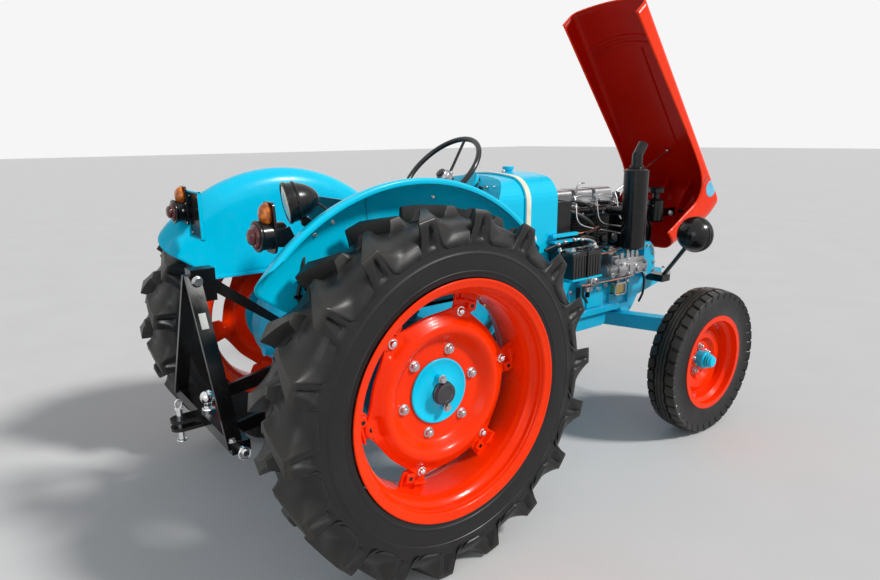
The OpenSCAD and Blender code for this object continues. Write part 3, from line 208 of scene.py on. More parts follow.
def lens(name, colour, cell=90, low=0.35):
    """Moulded lens with small prisms, each cell painted brighter at its middle and darker at its edge:
    painted glints and shade.
    """
    k = Look(name)
    prisms = k.nodes.new("ShaderNodeTexVoronoi")
    prisms.inputs["Scale"].default_value = cell
    k.links.new(k.coords, prisms.inputs["Vector"])
    depth = prisms.outputs["Distance"]
    # Painted glint at each cell's middle, painted shade at its edge
    bright, dark = tuple(min(1, c * 1.5) for c in colour), tuple(c * low for c in colour)
    k.put("Base Color", k.ramp(depth, (0.0, bright), (0.8, dark)))
    k.put("Roughness", 0.08)
    k.put("Coat Weight", 0.2)
    k.put("Normal", k.bump(depth, 0.8, 0.002))
    return k.material


M = {
    "cyan": paint("cyan_enamel", (0.0, 0.60, 0.86), (0.0, 0.55, 0.82)),
    "cyan_cast": cast("cyan_casting", (0.0, 0.52, 0.78), (0.0, 0.43, 0.70), 0.3, 0.0, 0.35, 120),
    "orange": paint("orange_enamel", (0.93, 0.038, 0.0), (0.86, 0.028, 0.0), 0.2, 0.12, 0.02, 0.14),
    # Darker copy of the orange enamel for the hood's inside and its ribs: painted shade
    "orange_painted_shade": paint("orange_shaded", (0.50, 0.006, 0.0), (0.42, 0.004, 0.0), 0.3, 0.12, 0.02, 0.1),
    "black": paint("black_enamel", (0.003, 0.003, 0.0035), (0.006, 0.006, 0.0065), 0.18, 0.12, 0.02, 0.35),
    "satin": paint("satin_black", (0.016, 0.016, 0.017), (0.024, 0.024, 0.025), 0.42, 0.3, 0.1, 0.3),
    "iron": cast("black_casting", (0.008, 0.008, 0.009), (0.02, 0.019, 0.018), 0.42),
    "alloy": cast("silver_alloy", (0.52, 0.52, 0.53), (0.30, 0.30, 0.31), 0.28, 0.9, 0.4),
    "steel": metal("bright_steel", (0.55, 0.55, 0.56)),
    "chrome": metal("chrome_plate", (0.75, 0.75, 0.76), 0.07),
    "copper": metal("copper_pipe", (0.78, 0.36, 0.24), 0.2),
    "brass": metal("brass_fitting", (0.55, 0.40, 0.16), 0.3),
    "dark_steel": metal("dark_steel", (0.10, 0.10, 0.105), 0.35),
    "tyre": rubber("tyre_rubber", (0.006, 0.006, 0.0062), (0.024, 0.022, 0.018), 0.36, 0.18, 0.25,
                   (0.017, 0.0155, 0.0125)),
    "hose": rubber("hose_rubber", (0.01, 0.01, 0.01), (0.03, 0.03, 0.03), 0.4, 0.3),
    "cream": plastic("cream_enamel", (0.72, 0.68, 0.52), 0.25, 0.05),
    "plastic": plastic("black_plastic", (0.008, 0.008, 0.009)),
    "battery": plastic("battery_case", (0.006, 0.006, 0.007), 0.16, 0.05),
    "vinyl": plastic("seat_vinyl", (0.012, 0.012, 0.013), 0.38, 0.5, 420),
    "amber": lens("amber_lens", (0.80, 0.17, 0.006), 70),
    "red": lens("red_lens", (0.12, 0.001, 0.003), 110),
    # Pale cream glass, hardly darkened across its prisms: painted glow of a lit lamp
    "lamp_glass_painted_glow": lens("lamp_glass_painted_glow", (0.95, 0.88, 0.66), 60, 0.8),
    "pale_blue": plastic("bare_disc", (0.12, 0.42, 0.60), 0.2, 0.02),
    "pale": plastic("pale_dial", (0.72, 0.71, 0.66), 0.3, 0.02),
    "plate": paint("blank_plate", (0.006, 0.008, 0.008), (0.01, 0.012, 0.012), 0.18),
}

# Looks of the CAD nodes; a name that ends in * stands for its left and its right node
CAD_LOOK = {
    "cyan": "fuel_tank dash_cowl battery_tray",
    "cyan_cast": "transmission_housing rear_axle_housings clutch_housing engine_block oil_pan "
                 "front_bolster front_axle rear_hub_* front_hub_*",
    "orange": "rear_rim_* rear_disc_* front_wheel_*",
    "black": "hitch_frame tow_clevis headlamps air_cleaner muffler steering_column seat_frame controls "
             "footplates tie_rod pitman_arm drag_link knuckle_* fan_housing pedals engine_left_side",
    "iron": "cylinders",
    "alloy": "rocker_covers injection_pump",
    "plastic": "steering_wheel",
    "chrome": "tow_ball",
    "steel": "hood_stay",
    "cream": "tank_strap",
    "tyre": "rear_tyre_* front_tyre_*",
}
for look, names in CAD_LOOK.items():
    for name in names.split():
        for node in {name.replace("*", tag) for tag in ("left", "right")}:
            slots = NODES[node].data.materials
            if not len(slots):
                slots.append(M[look])
            for i in range(len(slots)):
                slots[i] = M[look]


# Mesh helpers

def mm(points):
    return [(a / 1000, b / 1000) for a, b in points]


def to_mesh(name, bm, angle=None):
    """Mesh with outward normals, smooth but for edges sharper than the angle."""
    bmesh.ops.recalc_face_normals(bm, faces=bm.faces)
    mesh = bpy.data.meshes.new(name)
    bm.to_mesh(mesh)
    bm.free()
    mesh.shade_smooth()
    if angle:
        mesh.set_sharp_from_angle(angle=radians(angle))
    return mesh


def to_object(name, mesh, *looks):
    ob = bpy.data.objects.new(name, mesh)
    bpy.context.scene.collection.objects.link(ob)
    for look in looks:
        mesh.materials.append(M[look])
    return ob


def hand_over(ob, body, stand_for=()):
    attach(ob, body)
    if stand_for:
        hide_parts(*stand_for)
    return ob


def thicken(ob, thickness, behind, inner_look=0):
    """Gives a sheet its thickness: behind its faces, or else in front of them."""
    solid = ob.modifiers.new("sheet", "SOLIDIFY")
    solid.thickness = thickness
    solid.offset = -1 if behind else 1
    solid.material_offset = inner_look


def finish_mesh(name, bm, look, body="chassis", angle=35, bevel=0.0, subdivide=0, stand_for=()):
    ob = to_object(name, to_mesh(name, bm, angle), look)
    if bevel:
        b = ob.modifiers.new("bevel", "BEVEL")
        b.width = bevel
        b.segments = 2
        b.limit_method = "ANGLE"
        b.angle_limit = radians(40)
        b.harden_normals = False
    if subdivide:
        s = ob.modifiers.new("smooth", "SUBSURF")
        s.levels = s.render_levels = subdivide
    return hand_over(ob, body, stand_for)


def lathe(bm, profile, matrix=Matrix.Identity(4), steps=48):
    """Revolves (radius, height) points about the local Z axis. Units are metres."""
    rings = []
    for i in range(steps):
        a = radians(360 * i / steps)
        rings.append([bm.verts.new(matrix @ Vector((r * cos(a), r * sin(a), h))) for r, h in profile])
    for i in range(steps):
        one, two = rings[i], rings[(i + 1) % steps]
        for k in range(len(profile) - 1):
            bm.faces.new([one[k], two[k], two[k + 1], one[k + 1]])


def disc_closed(profile):
    """A lathe outline that starts and ends on the axis."""
    return [(1e-5, profile[0][1])] + list(profile) + [(1e-5, profile[-1][1])]


def turned(bm, profile, matrix, steps=48):
    """A lathe outline in millimetres, closed to the axis at both ends."""
    lathe(bm, disc_closed(mm(profile)), matrix, steps)


def smooth_path(points, per=8):
    """Catmull-Rom curve through the points."""
    pts = [Vector(p) for p in points]
    if len(pts) < 3:
        return pts
    ext = [pts[0] * 2 - pts[1]] + pts + [pts[-1] * 2 - pts[-2]]
    out = []
    for i in range(1, len(ext) - 2):
        p0, p1, p2, p3 = ext[i - 1:i + 3]
        for k in range(per):
            t = k / per
            out.append(0.5 * ((2 * p1) + (p2 - p0) * t + (2 * p0 - 5 * p1 + 4 * p2 - p3) * t * t
                              + (3 * p1 - p0 - 3 * p2 + p3) * t ** 3))
    out.append(ext[-2])
    return out


def tube(bm, points, radius, sides=12, closed=False):
    """Sweeps a circle along the path."""
    pts = [Vector(p) for p in points]
    n = len(pts)
    tangents = []
    for i in range(n):
        a = pts[(i - 1) % n] if closed or i > 0 else pts[i]
        b = pts[(i + 1) % n] if closed or i < n - 1 else pts[i]
        tangents.append((b - a).normalized())
    normal = tangents[0].orthogonal().normalized()
    rings = []
    for i in range(n):
        if i:
            turn = tangents[i - 1].rotation_difference(tangents[i])
            normal = (turn @ normal).normalized()
        other = tangents[i].cross(normal)
        turns = [k * tau / sides for k in range(sides)]
        rings.append([bm.verts.new(pts[i] + (normal * cos(t) + other * sin(t)) * radius) for t in turns])
    for i in range(n if closed else n - 1):
        one, two = rings[i], rings[(i + 1) % n]
        for k in range(sides):
            bm.faces.new([one[k], one[(k + 1) % sides], two[(k + 1) % sides], two[k]])
    if not closed:
        bm.faces.new(rings[0])
        bm.faces.new(list(reversed(rings[-1])))


def prism(bm, outline, z0, z1, matrix=Matrix.Identity(4)):
    """Extrudes (x, y) points between two local heights."""
    low = [bm.verts.new(matrix @ Vector((x, y, z0))) for x, y in outline]
    high = [bm.verts.new(matrix @ Vector((x, y, z1))) for x, y in outline]
    n = len(outline)
    bm.faces.new(list(reversed(low)))
    bm.faces.new(high)
    for i in range(n):
        bm.faces.new([low[i], low[(i + 1) % n], high[(i + 1) % n], high[i]])


def block(bm, low, high, matrix=Matrix.Identity(4)):
    prism(bm, [(low[0], low[1]), (high[0], low[1]), (high[0], high[1]), (low[0], high[1])], low[2],
          high[2], matrix)


def side_plate(bm, outline, x0, x1, matrix=Matrix.Identity(4)):
    """Plate across X from (y, z) points in millimetres."""
    low, high = ([bm.verts.new(matrix @ at(x, *q)) for q in outline] for x in (x0, x1))
    bm.faces.new(low)
    bm.faces.new(high[::-1])
    for i in range(len(outline)):
        j = (i + 1) % len(outline)
        bm.faces.new([low[i], low[j], high[j], high[i]])


def ring_points(r, n):
    return [(r * cos(tau * i / n), r * sin(tau * i / n)) for i in range(n)]


def link(place, count=24):
    """Closed path of a chain's or a pin's ring: place gives (x, y, z) for the cosine and sine of the turn."""
    return [at(*place(cos(a), sin(a))) for a in np.linspace(0, tau, count + 1)[:-1]]


LEFT, RIGHT, FRONT, REAR, UP, DOWN = (1, 0, 0), (-1, 0, 0), (0, -1, 0), (0, 1, 0), (0, 0, 1), (0, 0, -1)


def pointing(place, direction):
    """Frame at a place with local Z along a direction."""
    return Matrix.Translation(place) @ Vector(direction).to_track_quat("Z", "Y").to_matrix().to_4x4()


def spot(x, y, z, direction=RIGHT):
    return pointing(at(x, y, z), direction)


def bolt(bm, matrix, d, washer=True, stud=0.0):
    """Hexagon head standing on local Z = 0, across flats 1.6 times the shank."""
    base = d * 0.18 if washer else 0.0
    if washer:
        rim = [(d * 1.05, 0), (d * 1.1, d * 0.04), (d * 1.1, d * 0.14), (d * 1.02, base)]
        lathe(bm, disc_closed(rim), matrix, 24)
    r = d * 0.92
    h = d * 0.7
    prism(bm, ring_points(r, 6), base, base + h * 0.82, matrix)
    lathe(bm, disc_closed([(r * 0.88, base + h * 0.8), (r * 0.8, base + h)]), matrix, 24)
    if stud:
        top = base + h + stud
        end = [(d * 0.5, base + h * 0.9), (d * 0.5, top), (d * 0.42, top + d * 0.08)]
        lathe(bm, disc_closed(end), matrix, 20)


# Tyres: two section curves, the floor of the tread and the tops of its lugs, and a height between them

def grid_object(name, points, body, replaces, tint, angle):
    """Closed grid of points, around by section, as one piece; tint tells where the tread is worn."""
    around, across = points.shape[:2]
    index = np.arange(around * across).reshape(around, across)
    nxt = np.roll(index, -1, axis=0)
    quads = np.stack([index[:, :-1], index[:, 1:], nxt[:, 1:], nxt[:, :-1]], axis=-1).reshape(-1, 4)
    mesh = bpy.data.meshes.new(name)
    mesh.from_pydata(points.reshape(-1, 3).tolist(), [], quads.tolist())
    worn = mesh.attributes.new("worn", "FLOAT", "POINT")
    worn.data.foreach_set("value", tint.reshape(-1).astype(np.float32))
    bm = bmesh.new()
    bm.from_mesh(mesh)
    hand_over(to_object(name, to_mesh(name, bm, angle), "tyre"), body, (replaces,))


def bow(p, q, rise, n):
    """Arc from p to q that rises to the left of the line between them."""
    p, q = np.array(p, float), np.array(q, float)
    c = np.linalg.norm(q - p)
    d = (q - p) / c
    up = np.array([-d[1], d[0]])
    r = (c * c / 4 + rise * rise) / (2 * rise)
    o = (p + q) / 2 + up * (rise - r)
    h = asin(c / 2 / r)
    return [tuple(o + r * (up * cos(a) + d * sin(a))) for a in np.linspace(-h, h, n)]


def ease(t, foot=0.25, edge=0.12):
    """Rises from 0 to 1 with a rounded foot and a tighter rounded edge."""
    t = np.clip(t, 0, 1)
    slope = 1 / (1 - foot / 2 - edge / 2)
    low = slope * t * t / (2 * foot)
    mid = slope * (t - foot / 2)
    high = 1 - slope * (1 - t) ** 2 / (2 * edge)
    return np.where(t < foot, low, np.where(t > 1 - edge, high, mid))


def smooth(t):
    t = np.clip(t, 0, 1)
    return t * t * (3 - 2 * t)


def to_world(r, a, w, matrix):
    """Wheel coordinates in millimetres to the row frame in metres."""
    local = np.stack([r * np.cos(a), r * np.sin(a), w, np.full_like(r, 1000.0)], axis=-1) / 1000
    m = np.array([list(row) for row in matrix])
    return (local @ m.T)[..., :3]


LUGS = 18
PITCH = tau * REAR_R / LUGS
LUG_PHASE = radians(-4.4)
# At stations from the tread's middle to the foot of the shoulder: the place of a lug's leading and trailing
# edge, and the width of its steep and of its hollow side. Millimetres along the tread.
LUG_AT = [0, 25, 50, 75, 100, 109, 113, 116, 120, 125]
LUG_LEAD = [6, -12, -26, -39, -50, -53, -54, -53, -50, -48]
LUG_TRAIL = [-20, -37, -57, -78, -100, -109, -113, -117, -131, -152]
LUG_STEEP = [8, 8, 8, 8, 8, 8, 7, 6, 5, 5]
LUG_HOLLOW = [30, 50, 72, 84, 86, 78, 30, 12, 8, 6]
SIDEWALL = [(478, 0), (474, 0), (468, 0), (462, 0), (460.5, 1.4), (456, 1.6), (454.5, 0), (446, 0), (436, 0),
            (426, 0), (416, 0), (407, 0), (405.5, 1.5), (401, 1.8), (399.5, 0.2), (394, 0), (390, 0),
            (386, 0)]


def wall_w(r):
    """Half width of the sidewall at a radius."""
    t = (539 - r) / 153
    return 110 + 8 * t + 9.5 * (1 - (2 * t - 1) ** 2)


def rear_tyre_half():
    """Half section, from the tread's middle to the bead: the floor, the lug's top and a station number."""
    gap, lug, kind = [], [], []
    for w, r in ((0, 553), (4, 553), (8, 553), (12, 552.8), (17, 552.6), (26, 552), (38, 551), (50, 549.6),
                 (62, 547.8), (74, 545.4), (85, 542), (94, 538), (101, 533.5), (106, 529.5), (109, 526.2)):
        gap.append((r, w))
        lug.append((585 - 5 * (w / 110) ** 2, w * 1.06))
        kind.append(w)
    pillow = [(521, .5), (516.5, 2), (512, 4), (507.5, 5.6), (503, 6.8), (499, 7.5), (495.5, 7.8),
              (492.5, 7.7), (490, 7.3), (487.8, 6.6), (486, 5.5), (484.6, 4.2), (483.6, 2.9), (482.8, 1.6),
              (482.4, .6), (482, 0)]
    end = [(580, 117.5), (578, 120), (574.5, 121.4), (569, 122), (561, 122.4), (551, 122.7), (541, 122.9),
           (531, 123), (521, 123), (512, 123), (504, 122.9), (497, 122.8), (491, 122.6), (487, 122.4),
           (484, 122.3), (482, 122.2)]
    for k in range(16):
        r, rise = pillow[k]
        gap.append((r, wall_w(r) + rise))
        lug.append(end[k])
        kind.append(110 + k)
    for r, rise in SIDEWALL:
        gap.append((r, wall_w(r) + rise))
        lug.append((r, wall_w(r) + rise))
        kind.append(200)
    return np.array(gap), np.array(lug), np.array(kind, float)


def hollow(t):
    """Falls from 1 to 0 in a long concave curve."""
    return (1 - np.clip(t, 0, 1)) ** 1.9


def rear_tyre(name, side, body, node):
    gap, lug, kind = rear_tyre_half()
    n = len(gap)
    u = np.array([0, .027, .054, .08, .10, .12, .145, .17, .195, .22, .245, .27, .295, .32, .345, .375, .40,
                  .42, .445, .47])
    u = np.concatenate([u, u + 0.5])
    us = (np.arange(LUGS)[:, None] + u[None, :]).reshape(-1)
    halves = []
    for outer in (1, -1):
        shift = 0.0 if outer > 0 else 0.5
        own = (us + shift) % 1.0
        lap = np.floor(us + shift) - shift
        r, a, w, tint = (np.zeros((len(us), n)) for part in range(4))
        for j in range(n):
            station = min(kind[j], 125)
            across = lug[j][1] if kind[j] < 200 else 126
            lead, trail, steep, long_side = (np.interp(station, LUG_AT, v)
                                             for v in (LUG_LEAD, LUG_TRAIL, LUG_STEEP, LUG_HOLLOW))
            # The grid's columns lie on the edges of this half's lug and, at the middle, of the other half's
            one = [trail - steep, trail, lead]
            straight = [lead + (one[0] + PITCH - lead) * t for t in (1 / 6, 0.3, 5 / 6)]
            other = [v + PITCH / 2 for v in one]
            reach = smooth(across / 45)
            knots = one + [o * (1 - reach) + q * reach for o, q in zip(other, straight)] + [one[0] + PITCH]
            place = np.interp(own, [0, .08, .40, .5, .58, .90, 1.0], knots)
            h = np.where(own < .08, ease(own / .08, .2, .2),
                         np.where(own <= .40, 1.0, hollow((place - lead) / long_side)))
            lead2 = np.interp(0, LUG_AT, LUG_LEAD) + PITCH / 2
            near = (own >= .5) & (own < .58)
            top2 = (own >= .58) & (own <= .90)
            after = np.where(own > .90, place - lead2, place + PITCH - lead2)
            h2 = np.where(near, ease((own - .5) / .08, .2, .2), np.where(top2, 1.0, hollow(after / 30)))
            h = np.maximum(h, h2 * (1 - smooth((across - 8) / 13)))
            if kind[j] >= 200:
                h = h * 0
            rr = gap[j][0] + (lug[j][0] - gap[j][0]) * h
            ww = gap[j][1] + (lug[j][1] - gap[j][1]) * h
            if 110 <= kind[j] < 126:
                k = kind[j] - 110
                g = np.clip((own - .40) / .60, 0, 1)
                # The pillow between two lugs is lower behind the next lug and has rounded lower corners
                level = wall_w(gap[j][0])
                proud = (gap[j][1] - level) * (1 - h) * (own > .40)
                rounded = (1 - smooth(g / .24)) ** 1.4 + (1 - smooth((1 - g) / .34)) ** 1.4
                corner = 15 * rounded * smooth((k - 3) / 9) * (own > .40)
                ww = ww - proud * 0.42 * smooth((g - .4) / .6) - corner * 0.07
                rr = rr + corner * (1 - h)
                # Pocket in the lug's end: a ramp, deepest at its leading side
                v = (own - .08) / .32
                low = np.clip((k - 4.5) / 6.0, 0, 1)
                v0, v1 = 0.50 - 0.22 * low, 0.74 + 0.04 * low
                inside = smooth((v - v0 + .02) / .05) * smooth((v1 - v) / .04)
                inside = inside * smooth(k - 3.4) * smooth(11.2 - k)
                ww = ww - 11.0 * inside * (0.25 + 0.75 * np.clip((v - v0) / (v1 - v0), 0, 1)) * (own < .40)
            r[:, j] = rr
            w[:, j] = ww * outer
            a[:, j] = lap * tau / LUGS + place / REAR_R + LUG_PHASE
            tint[:, j] = h * (kind[j] < 114)
        halves.append((r, a, w, tint))
    r, a, w, tint = (np.concatenate([halves[1][k][:, :0:-1], halves[0][k]], axis=1) for k in range(4))
    m = wheel_frame(side, REAR_TRACK, 0, REAR_R)
    grid_object(name, to_world(r, a, w, m), body, node, tint, 42)


BLOCKS = 38


def front_tyre(name, side, body, node):
    """Three ribs round the middle with broken edges, and a row of shoulder blocks on each side."""
    floor, tops, zone = [], [], []
    crown = lambda w: 340 - 9 * (w / 64) ** 2
    ribs = [(0, 1), (3, 1), (6.5, 1), (7.4, 0), (9.0, 0), (10, 2), (12, 2), (15, 2), (18.5, 2), (19.4, 2.5),
            (21.5, 2.5), (23, 3), (25, 3.5), (28.5, 3.5), (31, 3.5), (32.5, 4), (34, 4), (38, 4), (43, 4),
            (49, 4), (55, 4), (60, 4), (63, 4), (65, 4)]
    for w, z in ribs:
        floor.append((crown(w) - 9.5, w))
        tops.append((crown(w), w))
        zone.append(z)
    side_curve = bow((329, 66.5), (221, 60), 8.5, 30)
    for k, p in enumerate(side_curve):
        floor.append((p[0], p[1] - 4.5 if k < 11 else p[1]))
        tops.append(p)
        zone.append(5 if k < 11 else 9)
    floor, tops = np.array(floor), np.array(tops)
    n = len(floor)
    u = np.array([0, .06, .12, .18, .3, .42, .5, .58, .66, .74, .78, .82, .86, .9, .94, .97])
    us = (np.arange(BLOCKS)[:, None] + u[None, :]).reshape(-1)
    own = us % 1.0
    halves = []
    for outer in (1, -1):
        r, a, w, tint = (np.zeros((len(us), n)) for part in range(4))
        for j in range(n):
            z = zone[j]
            slot = 1 - ease(np.minimum(own - 0.74, 1.0 - own) / 0.09, 0.3, 0.3) * (own > 0.74)
            zig = 1 - ease(np.minimum(own, 0.5 - own) / 0.1, 0.3, 0.3) * (own < 0.5)
            if z in (1, 2):
                h = np.ones_like(own)
            elif z == 2.5:
                h = zig
            elif z in (0, 3):
                h = np.zeros_like(own)
            elif z == 3.5:
                h = (1 - zig) * (tops[j][1] > 27)
            elif z == 4:
                h = slot
            elif z == 5:
                k = j - len(ribs)
                h = 1 - (1 - slot) * (1 - smooth((k - 5.5) / 4))
            else:
                h = np.ones_like(own)
            base, top = np.array(floor[j]), np.array(tops[j])
            r[:, j] = base[0] + (top[0] - base[0]) * h
            w[:, j] = (base[1] + (top[1] - base[1]) * h) * outer
            lean = np.interp(tops[j][1], [30, 66], [0, 9])
            a[:, j] = us * tau / BLOCKS - lean / 340
            tint[:, j] = h * (z < 5)
        halves.append((r, a, w, tint))
    r, a, w, tint = (np.concatenate([halves[1][k][:, :0:-1], halves[0][k]], axis=1) for k in range(4))
    m = wheel_frame(side, FRONT_TRACK, -WHEELBASE, FRONT_R)
    grid_object(name, to_world(r, a, w, m), body, node, tint, 34)


# Wheels

def polar(m, r, degrees, z):
    a = radians(degrees)
    return m @ Vector((r * cos(a) / 1000, r * sin(a) / 1000, z / 1000))


def face_frame(m, r, degrees, z):
    """Frame on the wheel's outer face at a polar place, its Z outward."""
    a = radians(degrees)
    place = Matrix.Translation((r * cos(a) / 1000, r * sin(a) / 1000, z / 1000))
    return m @ place @ Matrix.Rotation(a, 4, "Z")


def round_corners(points, radius, steps=4):
    """An open (a, b) polyline with its inner corners rounded."""
    out = [points[0]]
    for i in range(1, len(points) - 1):
        p, q, s = (Vector(points[k]) for k in (i - 1, i, i + 1))
        back, ahead = (p - q), (s - q)
        cut = min(radius, back.length * 0.45, ahead.length * 0.45)
        a, b = q + back.normalized() * cut, q + ahead.normalized() * cut
        for k in range(steps + 1):
            t = k / steps
            out.append(tuple(a * (1 - t) ** 2 + q * 2 * t * (1 - t) + b * t * t))
    out.append(points[-1])
    return out


# The rear rim's half section, radius and distance from its middle: lip, flange, bead seat, slope and well
REAR_RIM_IN = [(377, 117), (382, 119), (384, 122.5), (382, 125.5), (377, 126), (371, 123), (362, 120.5),
               (357, 119), (353, 114), (352, 108), (348.5, 104), (348.5, 92), (345, 86), (336, 78), (331, 71),
               (329, 60), (325, 50), (325, 0)]
REAR_RIM_OUT = [(333, 0), (333, 46), (337, 56), (339, 66), (344, 74), (353, 82), (356, 88), (357, 108),
                (362, 114), (377, 117)]


def rear_rim(side, body, node):
    m = wheel_frame(side, REAR_TRACK, 0, REAR_R)
    half_in = round_corners(REAR_RIM_IN, 5, 3)
    inner = half_in + [(a, -b) for a, b in reversed(half_in[:-1])]
    full = inner + [(a, -b) for a, b in reversed(REAR_RIM_OUT[1:-1])] + REAR_RIM_OUT
    bm = bmesh.new()
    lathe(bm, mm(full), m, 128)
    bmesh.ops.remove_doubles(bm, verts=bm.verts, dist=1e-6)
    return finish_mesh(node + "_rolled", bm, "orange", body, 50, stand_for=(node,))


EARS, EAR_TURN, EAR_R, EAR_Z = 6, 18, 263, 7
HUB_BOLT_R, HUB_Z = 138, -6


def ear_gap(theta):
    """Degrees from the nearest ear of the rear disc."""
    step = 360 / EARS
    local = (theta - EAR_TURN) % step
    return min(local, step - local)


def disc_edge(theta, tip=282.0, half=5.0, sag=9.0):
    """Radius of the disc's edge: round ears with hollow sides between them."""
    gap = ear_gap(theta)
    if gap < half:
        return tip - 7 * (gap / half) ** 4
    span = 180 / EARS - half
    t = (gap - half) / span
    chord = (tip - 7) * cos(radians(span)) / cos(radians(span * (1 - t)))
    return chord + sag * sin(pi / 2 * t) ** 2 - 2.0 * (1 - t) * t


def rear_disc(side, body, node):
    m = wheel_frame(side, REAR_TRACK, 0, REAR_R)
    dish = round_corners([(104, HUB_Z), (152, HUB_Z), (163, HUB_Z + 3), (177, 12), (190, 28), (205, 37),
                          (220, 35), (234, 22), (243, 11), (254, EAR_Z + 1), (300, EAR_Z)], 10, 5)
    xs, zs = [p[0] for p in dish], [p[1] for p in dish]
    rings = [104, 106, 122, 140, 152, 158, 164, 170, 176, 182, 188, 193, 198, 202, 206, 210, 214, 218, 222,
             226, 230, 234, 237, 240, 243, 246, 250, 254]
    bm = bmesh.new()
    front, back = [], []
    count = 288
    for i in range(count):
        theta = 360 * i / count
        edge = disc_edge(theta)
        pad = smooth((ear_gap(theta) - 6.5) / 3.5)
        f, b = [], []
        for k in range(len(rings) + 6):
            r = rings[k] if k < len(rings) else 254 + (edge - 254) * ((k - len(rings) + 1) / 6)
            r = min(r, edge - 0.3 * (len(rings) + 5 - k))
            h = float(np.interp(r, xs, zs))
            h = h + 7 * pad * exp(-((r - 244) / 13) ** 2)
            h -= 2.2 * smooth((r - edge + 2.5) / 2.5)
            f.append(bm.verts.new(polar(m, r, theta, h)))
            b.append(bm.verts.new(polar(m, r, theta, h - 6)))
        front.append(f)
        back.append(b)
    last = len(front[0]) - 1
    for i in range(count):
        j = (i + 1) % count
        for k in range(last):
            bm.faces.new([front[i][k], front[i][k + 1], front[j][k + 1], front[j][k]])
            bm.faces.new([back[i][k], back[j][k], back[j][k + 1], back[i][k + 1]])
        bm.faces.new([front[i][last], back[i][last], back[j][last], front[j][last]])
        bm.faces.new([front[i][0], front[j][0], back[j][0], back[i][0]])
    return finish_mesh(node + "_pressed", bm, "orange", body, 45, stand_for=(node,))


def valve(bm, frame, bends, radius):
    """Bent stem from (radial, outward) points."""
    tube(bm, [frame @ Vector((a, 0, b)) for a, b in mm(bends)], radius, 12)


CLAMP_TURN = 170
EMPTY_EAR = 1
# Section of the disc over the hub: radius and height above the face of the hub
CENTRE_DISC = [(100, 0.5), (106, 1.5), (107, 6), (105, 8.2), (100.5, 8.8), (98.5, 7.2), (70, 7.6), (58, 9),
               (50, 13), (44, 19), (40, 21), (34, 21.5)]


def rear_wheel(side):
    tag = "left" if side > 0 else "right"
    body = f"rear_wheel_{tag}"
    m = wheel_frame(side, REAR_TRACK, 0, REAR_R)
    rear_tyre(f"rear_tyre_{tag}_tread", side, body, f"rear_tyre_{tag}")
    rear_disc(side, body, f"rear_disc_{tag}")
    rear_rim(side, body, f"rear_rim_{tag}")
    ears = [EAR_TURN + 360 / EARS * i for i in range(EARS)]
    clamps = (CLAMP_TURN, CLAMP_TURN + 180)
    bm = bmesh.new()
    for a in ears:
        f = face_frame(m, HUB_BOLT_R, a, HUB_Z)
        bolt(bm, f, 0.016)
        turned(bm, [(7.5, 12), (7.5, 17.5), (6.5, 18.5)], f, 20)
    finish_mesh(f"hub_bolts_{tag}", bm, "steel", body)
    bm = bmesh.new()
    for i, a in enumerate(ears):
        if i != EMPTY_EAR:
            turned(bm, [(14.5, 0), (15.5, 1), (15.5, 3), (12, 3.3), (12, 7), (11, 11), (8, 14.2), (3, 15.8)],
                   face_frame(m, EAR_R, a, EAR_Z), 28)
    finish_mesh(f"ear_bolts_{tag}", bm, "chrome", body)
    # Thin black discs and squares on the disc in place of its holes: painted shade of the holes
    bm = bmesh.new()
    for i, a in enumerate(ears):
        f = face_frame(m, EAR_R, a, EAR_Z)
        if i == EMPTY_EAR:
            turned(bm, [(8.5, 0.4), (8.5, 0.8)], f, 24)
        turned(bm, [(5, 0.4), (5, 0.8)], face_frame(m, EAR_R - 1, a - 6.5, EAR_Z), 20)
        block(bm, (0.017, 0.033, 0.0062), (0.029, 0.045, 0.0068), f)
    finish_mesh(f"disc_holes_painted_shade_{tag}", bm, "black", body)
    bm = bmesh.new()
    for a in ears:
        f = face_frame(m, EAR_R, a, 0)
        prism(bm, mm([(-20, -24), (20, -26), (67, -34), (67, 66), (36, 66), (8, 62), (0, 50), (0, 26),
                      (-20, 24)]), -0.01, -0.0003, f)
        prism(bm, mm([(6, 24), (38, 24), (40, 56), (10, 56)]), -0.0003, 0.0132, f)
        prism(bm, mm([(32, -26), (39, -26), (39, 27), (32, 24)]), -0.0003, 0.020, f)
        prism(bm, mm([(39, -10), (66, -14), (66, 14), (39, 10)]), -0.0003, 0.006, f)
    finish_mesh(f"rim_brackets_{tag}", bm, "orange", body, bevel=0.0025)
    # Valve on the rim's well
    bm = bmesh.new()
    valve(bm, face_frame(m, 326, 205, 36), [(4, 0), (-12, 2), (-20, 12), (-24, 34)], 0.0042)
    finish_mesh(f"rim_valve_{tag}", bm, "brass", body)
    bm = bmesh.new()
    turned(bm, [(r, HUB_Z + z) for r, z in CENTRE_DISC], m, 96)
    for a in clamps:
        prism(bm, mm([(26, -14), (50, -14), (59, -10), (63, 0), (59, 10), (50, 14), (26, 14)]), -0.001,
              0.0205, face_frame(m, 0, a, 0))
    finish_mesh(f"hub_disc_{tag}", bm, "cyan", body, 40, bevel=0.0015)
    bm = bmesh.new()
    turned(bm, [(38, 12), (39, 14), (39, 22), (37, 24), (36.5, 34), (35, 37), (31, 38.5), (24, 38.5),
                (22.5, 36.5), (10, 36.3)], m, 48)
    for a in clamps:
        prism(bm, mm([(20, -11), (48, -11), (57, -7), (60, 0), (57, 7), (48, 11), (20, 11)]), 0.0205, 0.0265,
              face_frame(m, 0, a, 0))
    finish_mesh(f"shaft_cap_{tag}", bm, "dark_steel", body, 30)
    bm = bmesh.new()
    for a in clamps:
        bolt(bm, face_frame(m, 50, a, 26), 0.013)
    finish_mesh(f"clamp_bolts_{tag}", bm, "steel", body)


